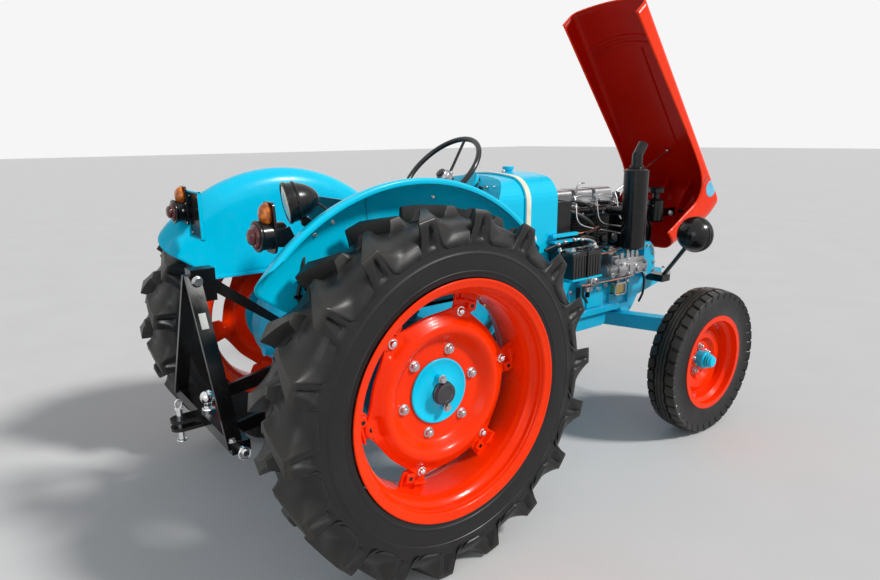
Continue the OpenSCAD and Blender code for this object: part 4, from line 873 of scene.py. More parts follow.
def front_wheel(side):
    tag = "left" if side > 0 else "right"
    body = f"front_wheel_set_{tag}"
    m = wheel_frame(side, FRONT_TRACK, -WHEELBASE, FRONT_R)
    front_tyre(f"front_tyre_{tag}_tread", side, body, f"front_tyre_{tag}")
    bm = bmesh.new()
    for i in range(5):
        bolt(bm, face_frame(m, 62, 34 + 72 * i, -14), 0.014, True, 0.007)
    finish_mesh(f"wheel_nuts_{tag}", bm, "steel", body)
    bm = bmesh.new()
    hub = [(39.7, -14), (39.7, 22), (37, 26), (31, 27.5), (30, 29), (30, 32), (33, 33), (33, 37), (30, 38),
           (29, 39.5), (29, 42), (31, 43), (31, 46), (27, 47.5), (26, 56), (23.5, 59), (10, 60.5)]
    turned(bm, round_corners(hub, 1.2, 2), m, 64)
    finish_mesh(f"hub_cap_{tag}", bm, "cyan", body, 38)
    bm = bmesh.new()
    for r, z0, z1 in ((30.6, 29, 32), (29.6, 39.5, 42)):
        lathe(bm, mm([(r, z0), (r, z1)]), m, 64)
    finish_mesh(f"hub_grooves_{tag}", bm, "black", body, 38)
    bm = bmesh.new()
    valve(bm, face_frame(m, 178, 100, 30), [(4, 0), (-12, 4), (-16, 20), (-17, 36)], 0.004)
    finish_mesh(f"front_valve_{tag}", bm, "brass", body)


for wheel_side in (1, -1):
    rear_wheel(wheel_side)
    front_wheel(wheel_side)


# Fenders: one pressed sheet each, from the inner wall over the shoulder to the rolled lip

FENDER_R = 660.0
FENDER_WALL_R = 560.0
FENDER_X0, FENDER_X1 = 452.0, 535.0
FENDER_FOOT = 227.0
FENDER_ENDS = (35.0, 150.0)


def fender_sheet(side):
    tag = "left" if side > 0 else "right"
    section = np.linspace(0, 1, 9)[:-1]
    ellipse = [(FENDER_WALL_R + 100 * cos(a), FENDER_X0 + 70 + 70 * sin(a))
               for a in np.linspace(-pi / 2, 0, 15)]
    lip = [(FENDER_R - down, FENDER_X1 - inside) for down, inside in (
        (0, 5), (0.6, 2.4), (2.4, 0.4), (5, 0), (9.5, 0), (12.5, 0.8), (13.6, 3.5), (12.6, 6), (10, 6.8))]
    n_wall, n_all = len(section), len(section) + len(ellipse) + len(lip)
    outward = [0.0] * n_all
    run = 0.0
    path = ellipse + lip[:5]
    for k in range(len(path) - 1, 0, -1):
        run += dist(path[k], path[k - 1])
        outward[n_wall + k - 1] = run
    steps = 120
    bm = bmesh.new()
    grid = []
    corner = 115.0
    for i in range(steps + 1):
        row = []
        for j in range(n_all):
            # The sheet's two ends are rounded towards its outer edge
            d = outward[j] if j >= n_wall else 999
            back = (corner - sqrt(max(0.0, corner ** 2 - (corner - d) ** 2))) if d < corner else 0.0
            if j >= n_wall + len(path):
                back = corner * 0.98
            start = FENDER_ENDS[0] + degrees(back / 640)
            stop = FENDER_ENDS[1] - degrees(back / 640)
            a = radians(start + (stop - start) * i / steps)
            if j < n_wall:
                low = FENDER_FOOT / sin(a)
                r = low + (FENDER_WALL_R - low) * section[j]
                x = FENDER_X0
            else:
                r, x = (ellipse + lip)[j - n_wall]
            row.append(bm.verts.new(at(side * x, r * cos(a), REAR_R + r * sin(a))))
        grid.append(row)
    for i in range(steps):
        for j in range(n_all - 1):
            bm.faces.new([grid[i][j], grid[i][j + 1], grid[i + 1][j + 1], grid[i + 1][j]])
    mesh = to_mesh("sheet", bm, 50)
    ob = to_object(f"fender_{tag}_sheet", mesh, "cyan")
    # The sheet's front is its outer skin, so its thickness goes to the wheel's side
    mid = mesh.polygons[len(mesh.polygons) // 2]
    toward = mid.normal.dot(Vector((0, mid.center.y - AXLE_Y / 1000, mid.center.z - REAR_R / 1000)))
    thicken(ob, 0.0032, toward > 0)
    hand_over(ob, "chassis", (f"fender_{tag}",))
    # Foot, brace and bolts of the sheet
    bm = bmesh.new()
    block(bm, at(side * 390, -50, 795), at(side * 452, 50, 801))
    block(bm, at(side * 443, -50, 801), at(side * 452, 50, 884))
    block(bm, at(side * 446, -420, 812), at(side * 452, 400, 826))
    finish_mesh(f"fender_foot_{tag}", bm, "cyan", angle=30, bevel=0.002)
    bm = bmesh.new()
    for y, z in ((-36, 858), (36, 858), (0, 836)):
        bolt(bm, spot(side * 443, y, z, (-side, 0, 0)), 0.01)
    for y in (-30, 30):
        bolt(bm, spot(side * 420, y, 801, UP), 0.012)
    for a in (58, 64.3, 100, 128):
        t = radians(a)
        place = at(side * 461.6, 604 * cos(t), REAR_R + 604 * sin(t))
        bolt(bm, pointing(place, (side, 0, 0)), 0.0055)
    finish_mesh(f"fender_bolts_{tag}", bm, "steel")
    # Joint line of the two halves of the sheet
    bm = bmesh.new()
    t = radians(75.7)
    line = []
    for r in np.linspace(505, 650, 20):
        x = 452 + 83 * (1 - sqrt(1 - (max(r - 560, 0) / 100) ** 2))
        line.append(at(side * (x + 3.4), r * cos(t), REAR_R + r * sin(t)))
    tube(bm, line, 0.0008, 8)
    finish_mesh(f"fender_seam_{tag}", bm, "satin", angle=40)


for fender_side in (1, -1):
    fender_sheet(fender_side)


# Lamps, blank plate and cable at the back

def bowl(bm, m, radius, depth, rim=3.0):
    """Round-backed lamp body: its open face at local Z = 0, its back towards -Z. Millimetres."""
    shell = [(1e-2, -depth)]
    for t in np.linspace(0.08, 1, 14):
        shell.append((radius * sin(pi / 2 * t), -depth * cos(pi / 2 * t) ** 1.15))
    shell += [(radius + 1, 0), (radius + rim, 1), (radius + rim + 0.5, 6), (radius + rim - 1, 9),
              (radius - 3, 10), (radius - 5, 6)]
    lathe(bm, mm(shell), m, 56)


def glass(bm, m, radius, z, crown):
    lathe(bm, mm([(radius, z)] + [(radius * cos(a), z + crown * sin(a))
                                  for a in np.linspace(0.12, pi / 2, 9)]), m, 48)


TAIL_LAMP = (412, 436, 1103)
# The flat back of a tail lamp, from below its red lens to above the socket of the amber one
LAMP_BACK = [(-28, -52), (28, -52), (43, -24), (40, 40), (34, 94), (-34, 94), (-40, 40), (-43, -24),
             (-28, -52)]


def lamp_set(side):
    tag = "left" if side > 0 else "right"
    x, y, z = side * TAIL_LAMP[0], *TAIL_LAMP[1:]
    bm = bmesh.new()
    face_of_lamp = spot(x, y - 6, z, REAR)
    turned(bm, [(26, -40), (33, -36), (36, -28), (36, 0), (41, 1), (41, 38), (44, 39), (45.5, 42), (45.5, 46),
                (44, 48), (37, 48.5), (35, 46)], face_of_lamp)
    back = Matrix.Translation(at(x, y - 6, z)) @ Matrix.Rotation(-pi / 2, 4, "X")
    outline = mm([(side * a, b) for a, b in round_corners(LAMP_BACK, 12, 3)[:-1]])
    prism(bm, outline, 0.0, 0.007, back @ Matrix.Scale(-1, 4, (0, 1, 0)))
    bracket = [(372, 1084), (392, 1068), (428, 1072), (428, 1122), (392, 1128)]
    side_plate(bm, bracket, side * 446, side * 451.7)
    tube(bm, [at(x, y - 2, z), at(x, y - 26, z - 6), at(x + side * 14, y - 46, z - 14),
              at(x + side * 33, y - 58, z - 20)], 0.016, 16)
    finish_mesh(f"tail_lamp_{tag}", bm, "black", bevel=0.0008, stand_for=("tail_lamps",) if side > 0 else ())
    bm = bmesh.new()
    red = spot(x, y + 41, z, REAR)
    turned(bm, [(35, 0), (35, 3), (33, 7), (27, 10), (24, 10.5), (24, 14), (22, 19), (16, 23), (8, 25)],
           red, 48)
    finish_mesh(f"red_lens_{tag}", bm, "red", angle=40)
    bm = bmesh.new()
    amber = spot(x, y + 6, z + 58, (0, 1, 0.04)) @ Matrix.Diagonal((1.0, 1.3, 1, 1))
    turned(bm, [(24, -6), (26.5, -3), (27, 2), (25.5, 9), (21, 16), (14, 21), (6, 23.4)], amber, 40)
    finish_mesh(f"amber_lens_{tag}", bm, "amber", angle=40)
    bm = bmesh.new()
    turned(bm, [(6, 0), (6, 4), (4, 6)], spot(x, y, z + 46, REAR), 20)
    turned(bm, [(5, 0), (5, 3), (3, 5)], spot(x - side * 40, y + 14, z + 6, (-side, 0, 0)), 20)
    for dz in (-42, 30):
        turned(bm, [(4, 0), (4, 2), (2.5, 3.2)], spot(x - side * 32, y + 0.5, z + dz, REAR), 16)
    finish_mesh(f"lamp_screws_{tag}", bm, "chrome")


for lamp_side in (1, -1):
    lamp_set(lamp_side)

# Work lamp: a bowl on a bracket, turned a little inward and down
WORK = spot(-430, 382, 1192, (0.24, 0.95, -0.16))
bm = bmesh.new()
bowl(bm, WORK, 57, 88)
lathe(bm, mm([(56.5, -26), (58.2, -24), (58.2, -21), (56.8, -19)]), WORK, 56)
finish_mesh("work_lamp_bowl", bm, "black", stand_for=("work_lamp",))
bm = bmesh.new()
# The work lamp's glass takes the pale glass: painted glow
glass(bm, WORK, 54, 4, 9)
finish_mesh("work_lamp_lens", bm, "lamp_glass_painted_glow", angle=50)
bm = bmesh.new()
tube(bm, smooth_path([at(-428, 336, 1150), at(-430, 333, 1128), at(-436, 322, 1104), at(-444, 312, 1070)], 4),
     0.008, 14)
tube(bm, smooth_path([at(-424, 300, 1192), at(-430, 282, 1178), at(-444, 262, 1160)], 4), 0.0035, 10)
block(bm, at(-451.6, 292, 960), at(-440, 316, 1090))
turned(bm, [(13, -9), (15, -6), (15, 6), (13, 9)], spot(-432, 332, 1134, LEFT), 28)
finish_mesh("work_lamp_bracket", bm, "black", bevel=0.001)
bm = bmesh.new()
bolt(bm, spot(-422, 332, 1134, LEFT), 0.01)
bolt(bm, spot(-440, 304, 990, LEFT), 0.009)
bolt(bm, spot(-440, 304, 1040, LEFT), 0.009)
finish_mesh("work_lamp_bolts", bm, "steel")

# Cable from the right lamp under the fender, clipped to its wall
bm = bmesh.new()
cable = [(-424, 372, 1082), (-440, 352, 1052), (-454, 360, 1016), (-458, 372, 968), (-458, 384, 926),
         (-456, 372, 890), (-448, 345, 862), (-436, 300, 840), (-420, 240, 826)]
tube(bm, smooth_path([at(*place) for place in cable], 6), 0.0055, 12)
finish_mesh("lamp_cable", bm, "hose", angle=40)
bm = bmesh.new()
block(bm, at(-463, 362, 962), at(-455.6, 384, 972))
block(bm, at(-463, 374, 918), at(-455.6, 396, 928))
finish_mesh("cable_clips", bm, "black", angle=40, bevel=0.001)

# Blank plate in a folded tray, each given by its low and its high corner
TRAY, TRAY_Y = ((246, 1004), (394, 1184)), 418
PLATE = ((256, 1014), (384, 1174))


def face(bm, low, high, y0, y1):
    block(bm, at(low[0], y0, low[1]), at(high[0], y1, high[1]))


def border(bm, low, high, width, y0, y1):
    """Four bars round a plate that faces the rear."""
    face(bm, low, (low[0] + width, high[1]), y0, y1)
    face(bm, (high[0] - width, low[1]), high, y0, y1)
    face(bm, low, (high[0], low[1] + width), y0, y1)
    face(bm, (low[0], high[1] - width), high, y0, y1)


bm = bmesh.new()
face(bm, *TRAY, TRAY_Y, TRAY_Y + 3)
border(bm, *TRAY, 6, TRAY_Y, TRAY_Y + 13)
block(bm, at(366, 410, 1075), at(446, 417.6, 1108))
finish_mesh("plate_tray", bm, "cyan", angle=30, bevel=0.0016, stand_for=("plate_holder",))
bm = bmesh.new()
face(bm, *PLATE, TRAY_Y + 3, TRAY_Y + 6)
border(bm, *PLATE, 4, TRAY_Y + 5, TRAY_Y + 7.4)
finish_mesh("blank_plate", bm, "plate", angle=30, bevel=0.001)
bm = bmesh.new()
for x in (268, 372):
    for z in (1024, 1164):
        turned(bm, [(4, 0), (4, 1.5), (2.5, 2.6)], spot(x, 424, z, REAR), 16)
finish_mesh("plate_screws", bm, "chrome")

# Hitch: pins, bolts, label and rings
BALL_Y, CLEVIS_Y, LINK_Z = 538, 635, 430
bm = bmesh.new()
bolt(bm, spot(-30, 541, 916, RIGHT), 0.017)
bolt(bm, spot(30, 541, 916, LEFT), 0.017)
for x in (-286, 286):
    bolt(bm, spot(x, 558, 451, UP), 0.012)
for side in (-1, 1):
    for y, z in ((150, 486), (200, 482)):
        bolt(bm, spot(side * 166.2, y, z, (side, 0, 0)), 0.012)
finish_mesh("hitch_bolts", bm, "steel")
bm = bmesh.new()
turned(bm, [(10, -62), (10, 50), (14, 51), (14, 55), (9, 57)], spot(0, CLEVIS_Y, LINK_Z, UP), 28)
tube(bm, link(lambda c, s: (0, CLEVIS_Y + 11 * c, 500 + 15 * s)), 0.003, 10, closed=True)
tube(bm, link(lambda c, s: (16 * c, CLEVIS_Y + 16 * s, 370)), 0.0022, 8, closed=True)
for side in (-1, 1):
    turned(bm, [(11, 0), (11, 46), (9, 49)], spot(side * 300, BALL_Y, LINK_Z, (side, 0, 0)), 28)
    tube(bm, link(lambda c, s: (side * 336, BALL_Y + 19 * c, LINK_Z - 6 + 19 * s)), 0.0024, 10, closed=True)
finish_mesh("hitch_pins", bm, "chrome")
bm = bmesh.new()
turned(bm, [(24, 20), (24, 24), (17, 25), (17, 33), (13, 35), (12, 36), (13.5, 46), (14, 50)],
       spot(0, BALL_Y, LINK_Z, UP), 40)
prism(bm, ring_points(0.021, 6), 0.025, 0.034, spot(0, BALL_Y, LINK_Z, UP))
finish_mesh("ball_collar", bm, "chrome")
# Blank label on the right leg
leg_down = Vector((-280, 0, -505)).normalized()
leg_out = Vector((-505, 0, 280)).normalized()
leg_frame = Matrix((( 0, leg_down.x, leg_out.x, 0), (1, 0, 0, 0), (0, leg_down.z, leg_out.z, 0),
                    (0, 0, 0, 1)))
label_place = at(-96.5, 552, 798)
bm = bmesh.new()
block(bm, (-0.0115, -0.027, -0.0004), (0.0115, 0.027, 0.0006), Matrix.Translation(label_place) @ leg_frame)
finish_mesh("blank_label", bm, "pale", angle=30)


# Engine: the right side is in view under the raised hood

def drum(bm, m, r, h, edge=1.5, steps=32):
    turned(bm, [(r - edge, 0), (r, edge), (r, h - edge), (r - edge, h)], m, steps)


def band(bm, m, r0, r1, z0, z1, steps=48):
    """Square ring about a frame's Z axis, in millimetres."""
    lathe(bm, mm([(r0, z0), (r1, z0), (r1, z1), (r0, z1), (r0, z0)]), m, steps)


def pipe(bm, points, r, per=6, sides=12):
    tube(bm, smooth_path([at(*q) for q in points], per), r / 1000, sides)


def cuboid(bm, low, high):
    block(bm, at(*low), at(*high))


def piece(name, look, build, body="chassis", bevel=0.0, angle=35, stand_for=()):
    bm = bmesh.new()
    build(bm)
    return finish_mesh(name, bm, look, body, angle, bevel, stand_for=stand_for)


CYLINDER_Y = (-1185, -1335, -1485)
FAN_Z = 870
CLEANER, MUFFLER = (-128, -1832), (-300, -1410)
PUMP_X, PUMP_OUTLETS = -203, (-1508, -1545, -1582)


def rocker_tops(bm):
    for y in CYLINDER_Y:
        cuboid(bm, (-88, y - 62, 1047), (88, y + 62, 1057))
        for dy in (-46, 46):
            for x in (-76, 76):
                bolt(bm, spot(x, y + dy, 1057, UP), 0.008)


def rocker_nuts(bm):
    for y in CYLINDER_Y:
        for dy in (-34, 34):
            drum(bm, spot(-18, y + dy, 1092, UP), 11, 5)
            drum(bm, spot(-18, y + dy, 1097, UP), 8, 10, 3)


def head_parts(bm):
    """Injectors, their clamps and the leak-off pipe beside the rocker covers."""
    for y in CYLINDER_Y:
        m = spot(-112, y + 10, 1030, (-0.35, 0, 1))
        drum(bm, m, 13, 24)
        prism(bm, ring_points(0.0125, 6), 0.024, 0.036, m)
        drum(bm, m, 7, 52)
        prism(bm, ring_points(0.009, 6), 0.052, 0.062, m)
        cuboid(bm, (-126, y - 38, 1028), (-90, y - 8, 1040))
        bolt(bm, spot(-108, y - 24, 1040, UP), 0.009)
        drum(bm, spot(-150, y - 30, 1004, RIGHT), 9, 8)
    cuboid(bm, (-120, -1120, 1012), (-96, -1096, 1072))
    drum(bm, spot(-118, -1108, 1050), 12, 22)
    drum(bm, spot(-118, -1108, 1030), 8, 30)
    pipe(bm, [(-121, -1175, 1082), (-126, -1230, 1090), (-124, -1325, 1082), (-126, -1400, 1092),
              (-124, -1475, 1082)], 3)
    pipe(bm, [(-60, -1275, 1096), (-60, -1278, 1128), (-60, -1300, 1142), (-60, -1330, 1142)], 4)


def pump_body(bm):
    """Injection pump in line on the block's side, its governor drum behind and its delivery valves on top."""
    cuboid(bm, (-238, -1620, 690), (-168, -1470, 748))
    cuboid(bm, (-230, -1610, 748), (-176, -1480, 772))
    drum(bm, spot(PUMP_X, -1468, 724, REAR), 44, 62, 6)
    drum(bm, spot(PUMP_X, -1406, 724, REAR), 30, 16, 4)
    drum(bm, spot(PUMP_X, -1620, 722, FRONT), 38, 14, 4)
    drum(bm, spot(-238, -1540, 716), 26, 9, 2)
    drum(bm, spot(-247, -1540, 716), 13, 9, 2)
    cuboid(bm, (-246, -1512, 700), (-238, -1482, 742))
    for y in PUMP_OUTLETS:
        m = spot(PUMP_X, y, 772, UP)
        prism(bm, ring_points(0.013, 6), 0, 0.016, m)
        drum(bm, m, 8, 34)
        prism(bm, ring_points(0.0095, 6), 0.034, 0.044, m)
    for y, z in ((-1462, 742), (-1420, 752), (-1612, 700), (-1612, 742), (-1476, 700)):
        bolt(bm, spot(-240, y, z), 0.009)
    cuboid(bm, (-236, -1400, 742), (-170, -1348, 800))
    drum(bm, spot(-236, -1374, 772), 19, 16, 3)
    drum(bm, spot(-200, -1374, 800, UP), 17, 30, 3)
    prism(bm, ring_points(0.012, 6), 0.030, 0.042, spot(-200, -1374, 800, UP))
    drum(bm, spot(-225, -1345, 705), 15, 26, 2)
    cuboid(bm, (-222, -1360, 690), (-168, -1330, 735))


def injector_lines(bm):
    for i, y in enumerate(PUMP_OUTLETS):
        goal = CYLINDER_Y[i] + 10
        pipe(bm, [(PUMP_X, y, 812), (-206, y, 850 + 8 * i), (-232, y + 20, 884 + 14 * i),
                  (-222, (y + goal) / 2, 922 + 12 * i), (-186, goal + 12, 968), (-150, goal + 4, 1062),
                  (-132, goal, 1094), (-130, goal, 1084)], 3.2)


def fuel_parts(bm):
    """Lift pump, its bowl and lever, and the filter's frame."""
    cuboid(bm, (-232, -1250, 668), (-168, -1168, 736))
    drum(bm, spot(-232, -1210, 700), 27, 20, 4)
    drum(bm, spot(-252, -1210, 700), 15, 10, 3)
    drum(bm, spot(-205, -1210, 736, UP), 24, 10, 2)
    drum(bm, spot(-205, -1210, 668, DOWN), 20, 26, 3)
    for a in range(6):
        t = tau * a / 6
        bolt(bm, spot(-251, -1210 + 21 * cos(t), 700 + 21 * sin(t)), 0.005, False)
    cuboid(bm, (-212, -1506, 586), (-168, -1418, 592))
    cuboid(bm, (-212, -1506, 640), (-168, -1418, 650))
    for y in (-1506, -1424):
        cuboid(bm, (-212, y, 586), (-206, y + 6, 650))
    bolt(bm, spot(-188, -1462, 650, UP), 0.012)
    for y, z in ((-1130, 640), (-1330, 628), (-1388, 640), (-1560, 640)):
        bolt(bm, spot(-170, y, z), 0.011)


def copper_lines(bm):
    pipe(bm, [(-252, -1118, 700), (-250, -1130, 690), (-238, -1290, 684), (-222, -1461, 676),
              (-216, -1540, 680), (-215, -1546, 690), (-214, -1546, 712), (-214, -1544, 736)], 4.2)
    pipe(bm, [(-250, -1130, 828), (-245, -1243, 826), (-243, -1320, 826), (-236, -1372, 826),
              (-205, -1374, 840)], 4.2)
    pipe(bm, [(-246, -1050, 941), (-246, -1105, 940), (-232, -1180, 940), (-210, -1262, 950),
              (-190, -1290, 944), (-182, -1306, 922)], 3.6)
    # Thin pipe down the tank's front edge
    pipe(bm, [(-186, -957, 1120), (-198, -957, 1095), (-204, -957, 1060), (-205, -957, 980),
              (-205, -957, 915), (-205, -962, 880)], 3.6)


def engine_hoses(bm):
    pipe(bm, [(-110, -1100, 1052), (-150, -1150, 1072), (-176, -1220, 1052), (-182, -1275, 1000),
              (-178, -1300, 950), (-172, -1282, 905)], 5.2)
    pipe(bm, [(-132, -1128, 1030), (-166, -1180, 1004), (-186, -1240, 962), (-184, -1262, 925)], 12)
    pipe(bm, [(-168, -1260, 880), (-240, -1200, 902), (-244, -1130, 920), (-240, -1090, 912)], 6)
    pipe(bm, [(-252, -1010, 905), (-262, -960, 906), (-268, -900, 902), (-262, -850, 890)], 7)
    pipe(bm, [(-172, -1660, 690), (-182, -1690, 640), (-176, -1700, 560), (-150, -1706, 500)], 6)
    pipe(bm, [(-232, -1160, 690), (-240, -1140, 640), (-232, -1180, 600), (-190, -1220, 588)], 6)


def engine_black(bm):
    """Cooling-air panel beside the cylinders, governor arms and the shroud's flange."""
    cuboid(bm, (-176, -1108, 930), (-168, -1000, 1078))
    cuboid(bm, (-168, -1108, 930), (-100, -1100, 1078))
    cuboid(bm, (-190, -1110, 922), (-96, -996, 930))
    for y, r in ((-1215, 22), (-1365, 20), (-1440, 24)):
        drum(bm, spot(-150, y, 870, (-0.9, 0, 0.3)), r, 26, 4)
    cuboid(bm, (-206, -1330, 846), (-168, -1180, 858))
    cuboid(bm, (-200, -1600, 820), (-168, -1360, 828))
    drum(bm, spot(-170, -1300, 770), 34, 14, 4)
    drum(bm, spot(-184, -1300, 770), 18, 16, 4)
    pipe(bm, [(-252, -1128, 936), (-250, -1190, 944), (-240, -1262, 950)], 5, 4)
    # Bracket of the air cleaner, and two legs below the lift pump
    cuboid(bm, (-150, -1792, 1000), (-96, -1772, 1010))
    for y in (-1160, -1230):
        cuboid(bm, (-206, y, 610), (-190, y + 14, 668))


def timing_cover(bm):
    outline = [(-1690, 640), (-1786, 656), (-1790, 700), (-1782, 760), (-1764, 806), (-1735, 824),
               (-1690, 820)]
    side_plate(bm, outline, -176, -120)


def cover_bolts(bm):
    for y, z in ((-1706, 654), (-1772, 668), (-1776, 712), (-1768, 760), (-1750, 798), (-1712, 808)):
        bolt(bm, spot(-176, y, z), 0.009)
    for y in range(-1560, -1100, 62):
        bolt(bm, spot(-167, y, 522), 0.008)
        bolt(bm, spot(-150, y, 805, UP), 0.009)
    # Bolts of the fan's shroud
    for a in (30, 75, 120, 165, 210, 255, 300, 345):
        t = radians(a)
        bolt(bm, spot(146 * cos(t), -1660, FAN_Z + 146 * sin(t), REAR), 0.007)
    bolt(bm, spot(-178, -1892, 960), 0.013)


def shroud_rings(bm):
    for y in (-1662, -1778):
        band(bm, spot(0, y, FAN_Z, REAR), 141, 150, -2.5, 2.5, 72)


def cleaner_rings(bm):
    """Clamps of the air cleaner and its cap, and the muffler's two rings."""
    for z in (931, 1001):
        band(bm, spot(*CLEANER, z, UP), 42, 44.6, -2, 2)
    turned(bm, [(38, 0), (40, 2), (40, 5), (34, 8)], spot(*CLEANER, 1092, UP), 40)
    band(bm, spot(*MUFFLER, 1206, UP), 57, 59.6, -2, 2, 56)
    band(bm, spot(*MUFFLER, 1222, UP), 27, 31, 0, 9, 40)


def battery_case(bm):
    cuboid(bm, (-385, -1075, 774), (-249, -891, 878))
    cuboid(bm, (-389, -1079, 868), (-245, -887, 886))
    for y in range(-1064, -890, 18):
        cuboid(bm, (-387.5, y, 778), (-385, y + 8, 866))
    for y in (-1049, -1013, -977, -941, -905):
        drum(bm, spot(-317, y, 886, UP), 12, 6, 2)
    cuboid(bm, (-394, -987, 774), (-389, -979, 894))
    cuboid(bm, (-394, -987, 890), (-240, -979, 895))


def battery_metal(bm):
    for y in (-1056, -910):
        drum(bm, spot(-352, y, 886, UP), 10, 12)
        cuboid(bm, (-372, y - 13, 891), (-330, y + 13, 900))
        bolt(bm, spot(-366, y, 900, UP), 0.008)
    pipe(bm, [(-352, -1056, 900), (-345, -1080, 908), (-300, -1090, 916), (-270, -1060, 918),
              (-258, -985, 916)], 6)
    for y in (-1083, -884):
        pipe(bm, [(-317, y, 776), (-317, y, 830), (-317, y, 902)], 3.5, 2)
        bolt(bm, spot(-317, y, 896, UP), 0.009)
    cuboid(bm, (-325, -1088, 889), (-309, -879, 894))
    for x, y, z in ((-300, -1040, 925), (-300, -990, 930), (-300, -930, 926), (-318, -870, 924)):
        drum(bm, spot(x, y, z - 8, (-0.4, 0, 1)), 9, 14, 3)


def blue_bars(bm):
    cuboid(bm, (-262, -1062, 936), (-240, -900, 950))
    cuboid(bm, (-272, -1050, 912), (-240, -900, 922))


piece("rocker_flanges", "alloy", rocker_tops, bevel=0.0012)
piece("rocker_nuts", "black", rocker_nuts)
piece("injectors", "alloy", head_parts, bevel=0.0008)
piece("pump_details", "alloy", pump_body, bevel=0.0014)
piece("injector_lines", "steel", injector_lines)
piece("fuel_parts", "steel", fuel_parts, bevel=0.001)
piece("copper_lines", "copper", copper_lines, angle=50)
piece("engine_hoses", "hose", engine_hoses, angle=50)
piece("engine_black_parts", "black", engine_black, bevel=0.001)
piece("timing_cover", "cyan_cast", timing_cover, bevel=0.002)
piece("cover_bolts", "steel", cover_bolts)
piece("shroud_rings", "black", shroud_rings, angle=50)
piece("bright_rings", "black", cleaner_rings, angle=50)
piece("battery_case", "battery", battery_case, bevel=0.0014, stand_for=("battery",))
piece("battery_clamps", "steel", battery_metal, bevel=0.0008)
piece("tank_bars", "cyan", blue_bars, bevel=0.001)
piece("filter_bowl", "brass", lambda bm: cuboid(bm, (-205, -1498, 593), (-170, -1428, 639)), bevel=0.004)


# Headlamps: rim, glass and the bolt of each joint

HEADLAMP = (420, -1720, 887)
HEADLAMP_RIM = mm([(80, 10), (85.5, 12), (88, 17), (87, 22), (82, 25), (77, 24), (76, 20)])


def headlamp(side):
    tag = "left" if side > 0 else "right"
    m = spot(side * HEADLAMP[0], *HEADLAMP[1:], FRONT)
    piece(f"headlamp_rim_{tag}", "black", lambda bm: lathe(bm, HEADLAMP_RIM, m, 64))
    # The headlamp's glass takes the pale glass: painted glow
    piece(f"headlamp_glass_{tag}", "lamp_glass_painted_glow", lambda bm: glass(bm, m, 78, 20, 12), angle=50)


def lamp_joints(bm):
    for side in (-1, 1):
        bolt(bm, spot(side * 214, -1858, 650, (side, 0.3, 0)), 0.013)
        bolt(bm, spot(side * 160, -1900, 660, UP), 0.011)


for lamp_side in (1, -1):
    headlamp(lamp_side)
piece("lamp_joint_bolts", "steel", lamp_joints)


# Tank and dash

def tank_metal(bm):
    # Over-centre latch of the strap and the filler cap's chain stud
    cuboid(bm, (-246, -783, 900), (-238, -761, 985))
    cuboid(bm, (-252, -779, 925), (-246, -765, 965))
    drum(bm, spot(-248, -772, 976), 6, 8, 2)
    drum(bm, spot(-248, -772, 914), 6, 8, 2)
    pipe(bm, [(-250, -772, 912), (-252, -772, 895), (-250, -772, 880)], 3, 3)
    drum(bm, spot(-60, -790, 1212, UP), 9, 16, 4)
    drum(bm, spot(-136, -640, 1152, (0, 0.7, 0.72)), 6, 22, 2)
    drum(bm, spot(-164, -655, 1156, (0, 0.7, 0.72)), 5, 20, 2)
    for x, z in ((-226, 1120), (-226, 1000), (-226, 880), (226, 1120), (226, 1000), (226, 880)):
        bolt(bm, spot(x, -757, z, REAR), 0.006, False)


DASH_SLOPE = (0, 0.74, 0.67)
DIAL = spot(0, -650, 1166, DASH_SLOPE)


def dial_ring(bm):
    lathe(bm, mm([(47, -6), (53, -4), (54.5, 3), (53, 8), (48.5, 9), (46.5, 6), (46.5, 2)]), DIAL, 56)
    for x, y in ((-92, -640), (92, -640), (-120, -652)):
        drum(bm, spot(x, y, 1150, DASH_SLOPE), 12, 9, 3)
        drum(bm, spot(x, y, 1150, DASH_SLOPE), 6, 24, 2)


def dial_face(bm):
    turned(bm, [(46.4, 1.0), (46.4, 3.0)], DIAL, 56)


def dial_marks(bm):
    m = DIAL
    for i in range(21):
        long_mark = i % 5 == 0
        half, foot = (0.0012, 0.032) if long_mark else (0.0006, 0.035)
        block(bm, (-half, foot, 0.0029), (half, 0.041, 0.0036),
              m @ Matrix.Rotation(radians(-120 + 12 * i), 4, "Z"))
    f = m @ Matrix.Rotation(radians(70), 4, "Z")
    block(bm, (-0.0012, -0.008, 0.0036), (0.0012, 0.034, 0.0046), f)
    turned(bm, [(4.5, 3), (4.5, 5.5), (3.5, 6.5)], m, 24)


piece("tank_metal", "chrome", tank_metal, bevel=0.0008)
piece("dash_knobs", "plastic", dial_ring)
piece("dial_face", "pale", dial_face)
piece("dial_marks", "plastic", dial_marks)
piece("tank_sticker", "pale", lambda bm: turned(bm, [(21, 0), (21, 0.7)], spot(-236, -805, 936, RIGHT), 48))


# Hood: one pressed skin, laid out as it lies when shut and then turned open about its hinge

HINGE_Y, HINGE_Z, HOOD_OPEN = -2135, 946, 50
HOOD_REAR, NOSE_Y, HOOD_EDGE_R = -952, -2212, 26
LEG_Y, LEG_LOW = -1975, 625
NOSE_CORNER = 90
turn_at = at(0, HINGE_Y, HINGE_Z)
HOOD_TURN = (Matrix.Translation(turn_at) @ Matrix.Rotation(radians(HOOD_OPEN), 4, "X")
             @ Matrix.Translation(-turn_at))


def hood_half(y):
    return 222 + max(0.0, -922 - y) * 30 / 1178


def hood_top(x, y):
    """Height of the hood's crown, rolling down at the nose."""
    crown = 1182 + (y - HOOD_REAR) * 32 / 900 - (560 - sqrt(560 ** 2 - x * x))
    ahead = min(max(0.0, -2062 - y), 150.0)
    nose = 1000 + sqrt(150 ** 2 - ahead ** 2) + 60 * (1 - ahead / 150) ** 2
    k = 14.0
    h = max(k - abs(crown - nose), 0.0) / k
    return min(crown, nose) - h * h * k / 4


